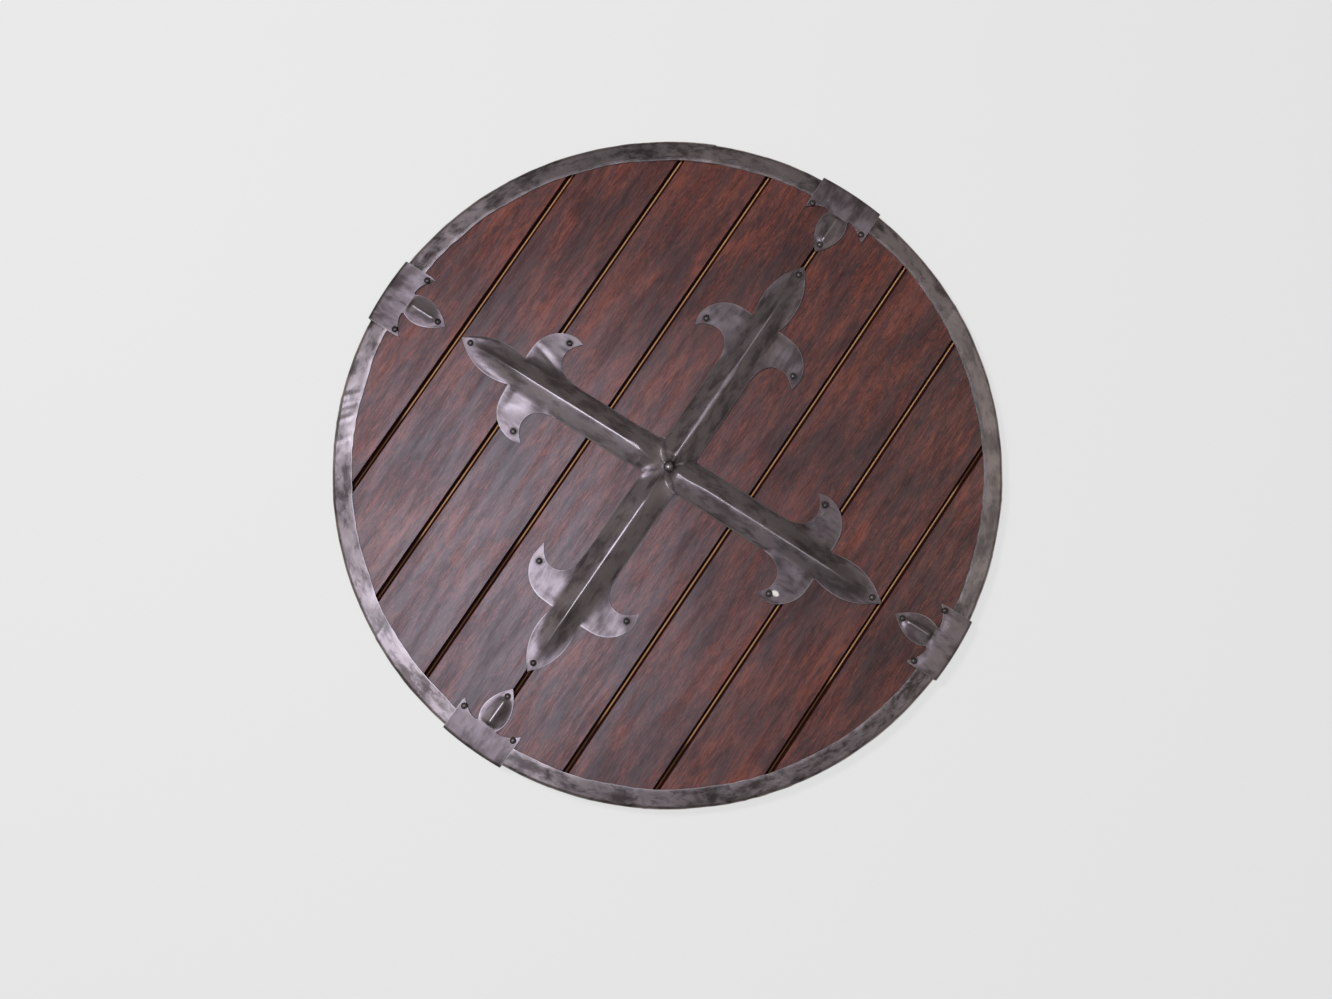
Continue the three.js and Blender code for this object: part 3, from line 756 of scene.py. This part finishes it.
ACROSS = np.sign(ACROSS) * np.abs(ACROSS) ** 1.25
LOBE_ROWS = 34


def corner_width(y, radius):
    """Half width near the middle: out along the diagonal, round the corner's arc, then the arm's own."""
    middle = ARM_HALF_WIDTH + radius
    arc = middle - np.sqrt(np.maximum(radius**2 - (y - middle) ** 2, 0))
    return np.where(y < middle - math.sqrt(0.5) * radius, y, np.where(y < middle, arc, ARM_HALF_WIDTH))


def foot_beside(arm, y):
    """Half width of an arm's strip beside its lobes, where it narrows to the leaf's base."""
    widths = [ARM_HALF_WIDTH, ARM_HALF_WIDTH - 1, LEAF_BASE]
    return np.interp(y - arm["lobe"] - LOBE_FOOT, [0, 10, 20], widths)


def strip_stations(arm):
    """Rows of an arm's strip: y, half width of its roof, half widths of its cut edges on the left and on the
    right, and the number of the first row beside the lobes."""
    lobe, reach = arm["lobe"], arm["reach"]
    middle = np.r_[np.linspace(0, ARM_HALF_WIDTH, 24), np.linspace(ARM_HALF_WIDTH, CORNER_END, 14)[1:]]
    straight = np.linspace(CORNER_END, lobe + LOBE_FOOT, 48)[1:-1]
    beside = np.linspace(lobe + LOBE_FOOT, lobe + LOBE_TOP + 0.5, LOBE_ROWS)
    beside_width = foot_beside(arm, beside)
    leaf = bezier(LEAF_SIDE, np.linspace(0, 1, 40)[1:])
    leaf_y = beside[-1] + (reach - beside[-1]) * leaf[:, 1]
    first = len(middle) + len(straight)
    outer = np.r_[beside_width, leaf[:, 0]]
    edges = [np.r_[corner_width(np.r_[middle, straight], radius), outer] for radius in arm["corners"]]
    return np.r_[middle, straight, beside, leaf_y], np.r_[np.full(first, ARM_HALF_WIDTH), outer], edges, first


def arm_rise(arm, y):
    """Height of the ridge along the arm: up out of the dimple, level, and down again in the leaf."""
    falling = 1 - smoothstep(arm["reach"] - 60, arm["reach"] - 8, y)
    return ARM_RIDGE * smoothstep(*arm["start"], y) * falling


def ridge_shift(arm, y):
    """How far the ridge lies beside the arm's middle line. Only its start is bent."""
    return arm["bend"] * smoothstep(0, 10, y) * (1 - smoothstep(20, 38, y))


def lobe_grid(arm, strip_edge, longer):
    """Points of a right-hand lobe: straight lines from its under edge to its outer edge, from the arm to the
    tip, with the row along the arm bent to follow the strip. One lobe has a longer tip."""
    lobe = arm["lobe"]
    share = np.linspace(0, 1, 44) ** 0.9
    tip = (LOBE_UNDER_TIP[0][0] + 0.1 * longer, LOBE_UNDER_TIP[0][1] - longer)
    under = np.concatenate([
        bezier(LOBE_UNDER_ARM[::-1], np.linspace(0, 1, 60)),
        bezier(LOBE_UNDER_TIP[:0:-1] + [tip], np.linspace(0, 1, 40))[1:],
    ])
    outer = np.concatenate([[(LEAF_BASE, LOBE_TOP + 0.5)], bezier(LOBE_OUTER, np.linspace(0, 1, 60)), [tip]])
    under, outer = polyline(under, share), polyline(outer, share)
    rows = np.linspace(0, 1, LOBE_ROWS)[:, None, None]
    points = under[None] * (1 - rows) + outer[None] * rows
    points[..., 1] += lobe
    bend = strip_edge - points[:, 0]
    return points + bend[:, None] * ((1 - share) ** 3)[None, :, None]


for arm_name, arm in ARMS.items():
    print(arm_name, "arm has", len(strip_stations(arm)[0]), "stations and reaches", arm["reach"], "mm")

# %% [markdown]
# ### Relief of the cross
# The height over the flat sheet is a sum. Each arm's ridge is a low roof whose sides are almost flat, and in
# the middle the four roofs cross: the height there is a soft maximum, the fourth root of the sum of their
# fourth powers, which rounds the valleys between them. It is flattened round the large nail. The leaves are
# hollow on both sides of the ridge, and beside the lobes the roof's foot runs out softly into them. On top
# come dents of two lengths, and the folds that the photograph shows where the ridges were driven down.


# %% Relief of the cross
def fold(points, start, end, width, height):
    """A rounded fold from start to end: a bell across the line, faded at its ends."""
    start, end = np.array(start, float), np.array(end, float)
    along = (end - start) / np.hypot(*(end - start))
    offset = points - start
    run = offset @ along
    away = offset @ np.array([-along[1], along[0]])
    length = np.hypot(*(end - start))
    between = smoothstep(-width, width, run) * (1 - smoothstep(length - width, length + width, run))
    return height * bell(away, width) * between


def rounded_share(share, rounding):
    """The share across, 0 on the ridge and 1 at the edge, with its corner on the ridge rounded off."""
    return (np.sqrt(share**2 + rounding**2) - rounding) / (math.sqrt(1 + rounding**2) - rounding)


def ridge_profile(share, ease=0.0):
    """Height across the arm from 1 on the ridge to 0 at the edge. The sides are almost flat. Ease makes the
    foot a hollow that runs out past the edge: half the sum of t and sqrt(t^2 + ease^2), where t is what is
    left of the share."""
    side = rounded_share(share, 0.04)
    left = 1 - side
    eased = (left + np.sqrt(left**2 + ease**2)) / (1 + np.sqrt(1 + ease**2))
    return eased * (1 + 0.24 * np.minimum(side, 1))


def hollow_profile(share):
    """Height across a leaf or petal: steep at the ridge and almost level at the edge."""
    return np.clip(1 - rounded_share(share, 0.03), 0, 1) ** 1.7


def lobe_zone(arm, y):
    """1 beside the lobes and 0 where the strip's edge is a cut one."""
    low, high = arm["lobe"] + LOBE_FOOT, arm["lobe"] + LOBE_TOP + 0.5
    return smoothstep(low, low + 14, y) * (1 - smoothstep(high - 10, high, y))


HOLLOW_FOOT = 0.42


def arm_roof(arm, x, y, foot):
    """Height of one arm's roof: its ridge times the profile across it, which is eased beside the lobes."""
    beside = x - ridge_shift(arm, y)
    share = np.abs(beside) / np.maximum(foot - np.sign(beside) * ridge_shift(arm, y), 0.1)
    sloped = ridge_profile(share, HOLLOW_FOOT * lobe_zone(arm, y))
    in_leaf = smoothstep(arm["reach"] - 72, arm["reach"] - 42, y)
    return arm_rise(arm, y) * (sloped + (hollow_profile(share) - sloped) * in_leaf)


ridge_heights = [round(float(ridge_profile(share)), 2) for share in (0, 0.5, 1)]
print("a ridge's height on it, halfway and at its edge:", ridge_heights)

# %% Folds, creases and tarnish
# Folds near the middle: start and end on the shield, width and height in mm.
FOLDS = [
    ((-19, -19), (-13.5, -9), 3.0, 0.8), ((-13.5, -10), (-10, -4), 3.2, 0.7),
    ((-26, -7), (-26.5, -14), 2.6, 0.8), ((-38, -12), (-33, -14), 2.4, 0.4), ((8, -3), (15, -6), 4.0, 0.6),
    ((-5, 9), (-4, 17), 3.0, 0.4), ((16, -14), (15, -22), 2.4, 0.4), ((-13, -40), (-13, -54), 4.0, 0.5),
    ((34, 17), (34, 13), 2.0, 0.4),
]
# Creases on the lobes: arm, then start and end on that arm, width and height in mm.
CREASES = {"left": [((21, 130), (30, 157), 2.8, -0.45)], "right": [((-47, 139), (-38, 137), 1.6, 0.4)]}
# A painted glint, a pale spot beside a nail: arm, place on that arm, and half sizes in mm.
PAINTED_GLINT_SPOT = ("right", (43.5, 139.5), (2.4, 3.6))
# How far each arm's lobes are painted brighter at their roots: a painted highlight, strongest on the arms
# whose lobes mirror the soft panel.
LOBE_ROOT_HIGHLIGHT = {"top": 0.05, "left": 0.40, "bottom": 0.15, "right": 0.0}
# How far the end of each arm is tarnished.
ARM_TARNISH = {"top": 0.12, "left": 0.0, "bottom": 0.10, "right": 0.35}
LONG_TIP = 5.0
print("folds:", len(FOLDS), "and creases on the arms", list(CREASES))


# %% Arms and lobes
def lay_arm(arm, local, height):
    """Turns an arm's plan points to their place, leaning only past the middle, and adds the folds."""
    blend = smoothstep(ARM_HALF_WIDTH, 45, local[..., 1])
    plan = turned(local, arm["turn"] + arm["lean"] * blend) + CROSS_CENTRE
    for start, end, width, rise in FOLDS:
        height = height + fold(plan, start, end, width, rise)
    height = np.clip(height, -0.15, ARM_RIDGE)
    return np.concatenate([plan, (PLATE_FACE + height)[..., None]], axis=-1)


def make_arm_strip(order, seed):
    """Points of an arm's strip with their height, how worn each is, and how dark: patina at the roof's foot
    and in the valleys, and patina and painted shadow round the middle nail.
    """
    arms = list(ARMS.values())
    arm, next_left, next_right = arms[order], arms[(order + 1) % 4], arms[order - 1]
    y, width, edges, first = strip_stations(arm)
    last = first + LOBE_ROWS
    across = ACROSS[None, :]
    x = across * np.where(across < 0, edges[0][:, None], edges[1][:, None])
    x = x + ridge_shift(arm, y)[:, None] * (1 - np.abs(across))
    y = y[:, None] + 0 * x
    share = np.abs(across) + 0 * x
    left_roof = arm_roof(next_left, y, -x, ARM_HALF_WIDTH)
    right_roof = arm_roof(next_right, -y, x, ARM_HALF_WIDTH)
    roofs = (arm_roof(arm, x, y, width[:, None]), left_roof, right_roof)
    height = sum(roof**4 for roof in roofs) ** 0.25 * smoothstep(1.5, 7, np.hypot(x, y))
    loose = smoothstep(1, 0.75, share) * smoothstep(6, 16, y)
    height = height + loose * (0.05 * ripple(x, y, 13, seed) + 0.30 * ripple(x, y * 0.5, 34, seed + 1))
    near_tip = bell(np.hypot(x, y - arm["reach"] + TIP_NAIL_BACK), 4)
    height = height * (1 - 0.8 * near_tip)
    on_ridge = bell(x - ridge_shift(arm, y), 0.5) * smoothstep(arm["start"][0], 0.7 * arm["start"][1], y)
    on_ridge = on_ridge * (1 - smoothstep(arm["reach"] - 60, arm["reach"] - 34, y))
    edge = (share == 1) * (y >= CORNER_END) * 0.7
    edge[first:last] = 0
    valley = bell(np.abs(x) - y, 4) * smoothstep(4, 10, y) * (1 - smoothstep(18, 24, y))
    foot = 0.30 * smoothstep(0.8, 1.0, share) * (edge == 0) * (1 - lobe_zone(arm, y))
    # Patina at the roof's foot and in the valleys, and round the middle nail patina and a painted shadow.
    grime_and_shade = foot + 0.35 * bell(np.hypot(x, y), 6) + 0.2 * valley
    return np.stack([x, y], axis=-1), height, np.maximum(on_ridge, edge), np.clip(grime_and_shade, 0, 1), (first, last)


def lobe_relief(arm, grid, seed, creases):
    """Height of a lobe: the hollow foot of the arm's roof, slow dents, creases, and flat at the nail."""
    x, y = grid[..., 0], grid[..., 1]
    reach_in = np.linspace(0, 1, grid.shape[1])[None, :]
    free = smoothstep(0, 0.25, reach_in)
    dents = 0.22 * ripple(x, y, 30, seed) + 0.05 * ripple(x, y, 12, seed + 30)
    height = arm_roof(arm, x, y, foot_beside(arm, y)) + free * dents
    for start, end, width, rise in creases:
        height = height + free * fold(grid, start, end, width, rise)
    return height * (1 - bell(np.hypot(grid[..., 0] - LOBE_NAIL_X, grid[..., 1] - arm["lobe"]), 5))


def make_cross():
    """Four strips and eight lobes, merged where they share points, and given the sheet's thickness."""
    parts = {"points": [], "faces": [], "worn": [], "grimy": [], "flow": [], "pale": []}

    def add(order, arm, local, height, wear_and_highlight, grime_and_shade, flip):
        squares = grid_squares(*height.shape, first=sum(map(len, parts["points"])))
        x, y = local[..., 0], local[..., 1]
        # Painted glint: a pale spot beside a nail, where a glint shows.
        pale = 0 * x
        if PAINTED_GLINT_SPOT[0] == list(ARMS)[order]:
            (spot_x, spot_y), (half_x, half_y) = PAINTED_GLINT_SPOT[1:]
            pale = 1 - smoothstep(0.85, 1.1, np.hypot((x - spot_x) / half_x, (y - spot_y) / half_y))
        flow = np.stack([x, y, 0 * x + 170 * order], axis=-1)
        grime_and_shade = np.clip(grime_and_shade + ARM_TARNISH[list(ARMS)[order]] * smoothstep(95, 130, y), 0, 1)
        parts["points"].append(lay_arm(arm, local, height).reshape(-1, 3))
        parts["faces"].append(squares[:, ::-1] if flip else squares)
        for key, values in {"worn": wear_and_highlight, "grimy": grime_and_shade, "pale": pale}.items():
            parts[key].append(values.ravel())
        parts["flow"].append(flow.reshape(-1, 3))

    for order, (name, arm) in enumerate(ARMS.items()):
        local, height, wear_and_highlight, grime_and_shade, (first, last) = make_arm_strip(order, 200 + 10 * order)
        add(order, arm, local, height, wear_and_highlight, grime_and_shade, flip=False)
        for side in (-1, 1):
            strip_edge = local[first:last, 0 if side < 0 else -1] * [side, 1]
            grid = lobe_grid(arm, strip_edge, LONG_TIP if (name, side) == ("bottom", 1) else 0)
            creases = [
                ((a[0] * side, a[1]), (b[0] * side, b[1]), width, rise)
                for a, b, width, rise in CREASES.get(name, [])
                if a[0] * side > 0
            ]
            lobe_height = lobe_relief(arm, grid, 300 + 10 * order + side, creases)
            edge = np.zeros(grid.shape[:2])
            edge[0], edge[-1] = 1, 1
            edge[:, 0] = 0
            x, y = grid[..., 0], grid[..., 1] - arm["lobe"]
            # Worn cut edges, and a painted highlight at the lobe's root.
            wear_and_highlight = np.maximum(0.8 * edge, LOBE_ROOT_HIGHLIGHT[name] * bell(np.hypot(x - 27, y - 10), 11))
            # A dark ring round the lobe's nail, patina and painted shadow, and patina where the lobe meets
            # the arm.
            round_nail = bell(np.hypot(x - LOBE_NAIL_X, y) - 3.4, 0.8)
            grime_and_shade = 0.5 * bell(np.hypot(x - 20, y + 8), 8) + 0.4 * round_nail
            add(order, arm, grid * [side, 1], lobe_height, wear_and_highlight, np.clip(grime_and_shade, 0, 1), flip=side < 0)
    faces = np.concatenate(parts.pop("faces")).tolist()
    points = np.concatenate(parts.pop("points"))
    numbers = {key: np.concatenate(values) for key, values in parts.items()}
    cross = make_piece("cross", points, faces, numbers, merge=0.02)
    fold_thickness(cross, SHEET, CUT_EDGE_ROUND)
    return hand_over(cross, cross_finish, ["cross_plate"])


cross = make_cross()
print("cross points:", len(cross.data.vertices))

# %% [markdown]
# ## The clips
# Each clip is a piece of sheet that follows the rim round its edge and slopes down inside it, where it ends
# in two horns and a petal. Columns across the clip follow the fold's path and stop at the cut outline. The
# petal is a second grid between its two sides, sharing the points of its neck.

# %% Clips over the rim
CLIP_TURNS = {"top": 0.4, "left": 91.6, "bottom": 178.8, "right": 271.4}
CLIP_RADIUS, CLIP_FACE, CLIP_BACK = 300.0, 18.0, 0.0
CLIP_HALF_WIDTH, CLIP_BACK_REACH = 30.5, 283.0
FACE_LEG_END, CLIP_SLOPE = 280.5, (291.0, 268.0)
# How far each clip's face is tarnished.
CLIP_TARNISH = {"top": 0.15, "left": 0.25, "bottom": 0.35, "right": 0.0}
HORN = [(29.7, 266.5), (21, 275.5), (11, 276)]
NECK_HALF_WIDTH, NECK_Y = 9.5, 274.6
PETAL = [(NECK_HALF_WIDTH, NECK_Y), (14, 267.3), (16.5, 254.3), (0, 236.3)]
PETAL_RIDGE, PETAL_NAIL_Y = 2.7, 244.3
HORN_NAIL = (26.1, 272.6)


def clip_end_y(x):
    """Where a clip's column at x stops: along the horn's curve, the notch and the neck."""
    horn = bezier(HORN, np.linspace(0, 1, 60))[::-1]
    corner_x = np.r_[0, NECK_HALF_WIDTH, horn[:, 0], CLIP_HALF_WIDTH]
    corner_y = np.r_[NECK_Y, NECK_Y, horn[:, 1], HORN[0][1] + 3]
    return np.interp(np.abs(x), corner_x, corner_y)


def clip_columns():
    """Places of the columns: fine steps, with the neck's own points among them."""
    neck = NECK_HALF_WIDTH * np.linspace(-1, 1, 25)
    side = np.r_[np.linspace(NECK_HALF_WIDTH, 11, 3)[1:], np.linspace(11, 29.7, 26)[1:], CLIP_HALF_WIDTH]
    return np.r_[-side[::-1], neck, side], (len(side), len(side) + len(neck))


def make_clip(name, degrees, seed):
    """Columns down the fold's path, each at y = sqrt(radius^2 - x^2), and the petal between its sides."""
    counts = (6, 6, 5, 9, 16)
    path, normals = fold_path(CLIP_RADIUS, CLIP_BACK, CLIP_FACE, CLIP_BACK_REACH, FACE_LEG_END, counts)
    x, (neck_first, neck_last) = clip_columns()
    end_radius = np.hypot(x, clip_end_y(x))
    rows = np.linspace(0, 1, 18)[None, :]
    tail_radius = FACE_LEG_END + (end_radius[:, None] - FACE_LEG_END) * rows
    radius = np.concatenate([np.broadcast_to(path[:, 0], (len(x), len(path))), tail_radius[:, 1:]], axis=1)
    z = np.r_[path[:, 1], np.full(rows.size - 1, CLIP_FACE)][None, :]
    out = np.r_[normals[:, 0], np.zeros(rows.size - 1)][None, :]
    up = np.r_[normals[:, 1], np.ones(rows.size - 1)][None, :]
    columns = x[:, None] + 0 * radius
    face_share = smoothstep(0.5, 1, up)
    z = z - (CLIP_FACE - PLATE_FACE) * face_share * smoothstep(CLIP_SLOPE[0], CLIP_SLOPE[1], radius)
    dents = 0.16 * ripple(columns, radius, 18, seed) + 0.03 * ripple(columns, radius, 7, seed + 1)
    dents = np.clip(face_share * dents, -0.2, 0.5) * smoothstep(0, 4, radius - end_radius[:, None] + 1)
    z = z + dents * up
    radius = radius - 0.12 * np.abs(out)
    y = np.sqrt(radius**2 - columns**2)
    body = np.stack([columns, y, z], axis=-1)
    share = np.linspace(0, 1, 30)
    outline = bezier(PETAL, share)
    across = np.linspace(-1, 1, neck_last - neck_first)
    petal_x = outline[:, :1] * across[None, :]
    petal_y = outline[:, 1:] + 0 * petal_x
    rising = smoothstep(244.5, 251, petal_y) * (1 - smoothstep(270.5, NECK_Y, petal_y))
    petal_z = PLATE_FACE + PETAL_RIDGE * rising * hollow_profile(across)[None, :]
    blend_in = z[neck_first:neck_last, -1][None, :] - PLATE_FACE
    petal_z = petal_z + blend_in * (1 - smoothstep(0, 0.25, share))[:, None]
    petal = np.stack([petal_x, petal_y, petal_z], axis=-1)
    points = np.concatenate([body.reshape(-1, 3), petal.reshape(-1, 3)])
    points[:, :2] = turned(points[:, :2], degrees)
    body_faces = grid_squares(*body.shape[:2])
    petal_faces = grid_squares(*petal.shape[:2], first=body[..., 0].size)[:, ::-1]
    edge = np.zeros(body.shape[:2])
    edge[0], edge[-1] = 1, 1
    edge[:neck_first, -1], edge[neck_last:, -1] = 1, 1
    petal_edge = np.zeros(petal.shape[:2])
    petal_edge[:, 0], petal_edge[:, -1] = 1, 1
    petal_ridge = bell(petal_x, 0.6) * smoothstep(247, 251, petal_y) * (1 - smoothstep(270, 273, petal_y))
    worn = np.r_[edge.ravel(), np.maximum(petal_edge, petal_ridge).ravel()]
    # The petal's neck is painted darker.
    neck_darkening = 0.6 * bell(petal_y - 273.5, 2) * (1 - np.abs(across))[None, :]
    # Patina and painted shade: the sides and bends of the fold are painted dark, and each clip's face is
    # tarnished as listed.
    side_patina_and_shade = 0.7 * np.clip(np.abs(out), 0, 1) + CLIP_TARNISH[name] * smoothstep(268, 280, radius)
    grimy = np.clip(np.r_[side_patina_and_shade.ravel(), neck_darkening.ravel()], 0, 1)
    body_flow = np.stack([columns, radius, z + seed], axis=-1).reshape(-1, 3)
    petal_flow = np.stack([petal_x, petal_y, petal_z + seed], axis=-1).reshape(-1, 3)
    faces = np.concatenate([body_faces, petal_faces]).tolist()
    numbers = {"worn": worn, "grimy": grimy, "flow": np.concatenate([body_flow, petal_flow])}
    clip = make_piece(f"clip_{name}_sheet", points, faces, numbers, merge=0.02)
    fold_thickness(clip, SHEET, CUT_EDGE_ROUND)
    return hand_over(clip, cross_finish, [f"clip_{name}"])


clips = [make_clip(name, degrees, 400 + 10 * i) for i, (name, degrees) in enumerate(CLIP_TURNS.items())]
for clip in clips:
    tilt = np.mean([face.normal.z for face in clip.data.polygons if face.center.z > 0.0164])
    print(clip.name, "faces", len(clip.data.polygons), "mean upward normal", round(float(tilt), 2))

# %% [markdown]
# ## The nails
# A domed nail is a turned shape: a profile of radius and height carried round an axis. Its dome is part of
# a sphere with a slightly flattened edge, and below it the shank runs into the wood.


# %% Nails
def nail_profile(head, dome):
    """Profile (radius, z) from the point of the shank up to the top of the dome."""
    seat = PLATE_FACE + 0.1
    angle = np.radians(np.linspace(8, 90, 9))
    cap = np.stack([head * np.cos(angle), seat + 0.25 + dome * np.sin(angle)], axis=-1)
    shank = [(0, 6.0), (1.5, 9.0), (1.5, seat), (head * 0.97, seat)]
    return np.concatenate([shank, cap])


def make_nail(node, place, head, dome, top_wear_and_highlight=0.0, steps=28):
    """Carries the profile round the nail's axis. Its top can be made bright, as wear and a painted highlight.
    """
    profile = nail_profile(head, dome)
    angle = np.linspace(0, math.tau, steps, endpoint=False)[:, None]
    x = place[0] + profile[:, 0] * np.cos(angle)
    y = place[1] + profile[:, 0] * np.sin(angle)
    points = np.stack([x, y, profile[:, 1] + 0 * x], axis=-1)
    faces = grid_squares(*x.shape, closed_rows=True).tolist()
    # Dirt and painted shade: the dome is painted darker towards its foot.
    grime_and_shade = np.clip(1 - (points[..., 2] - PLATE_FACE) / dome, 0, 1) * 0.8
    # Wear and painted highlight: the top of the dome is painted bright.
    worn = top_wear_and_highlight * bell(profile[:, 0], head * 0.6) + 0 * grime_and_shade
    numbers = {"worn": worn, "grimy": grime_and_shade * (1 - worn), "flow": points}
    nail = make_piece(node + "_head", points, faces, numbers, merge=0.005, recalculate=True)
    nail.data.set_sharp_from_angle(angle=math.radians(50))
    return hand_over(nail, nail_finish, [node])


# Radius of the head and height of the dome.
MIDDLE_NAIL, SMALL_NAIL = (4.9, 3.5), (2.9, 1.9)
nails = [make_nail("nail_cross_centre", CROSS_CENTRE, *MIDDLE_NAIL, top_wear_and_highlight=1.0)]
for arm_name, arm in ARMS.items():
    spots = {
        "tip": (0, arm["reach"] - TIP_NAIL_BACK),
        "lobe_1": (-LOBE_NAIL_X, arm["lobe"]),
        "lobe_2": (LOBE_NAIL_X, arm["lobe"]),
    }
    for spot, place in spots.items():
        place = turned(np.array(place, float), arm["turn"] + arm["lean"]) + CROSS_CENTRE
        nails.append(make_nail(f"nail_cross_{arm_name}_{spot}", place, *SMALL_NAIL))
for clip_name, degrees in CLIP_TURNS.items():
    spots = {"petal": (0, PETAL_NAIL_Y), "horn_1": (-HORN_NAIL[0], HORN_NAIL[1]), "horn_2": HORN_NAIL}
    for spot, place in spots.items():
        place = turned(np.array(place, float), degrees)
        nails.append(make_nail(f"nail_clip_{clip_name}_{spot}", place, *SMALL_NAIL))
print("nails:", len(nails))
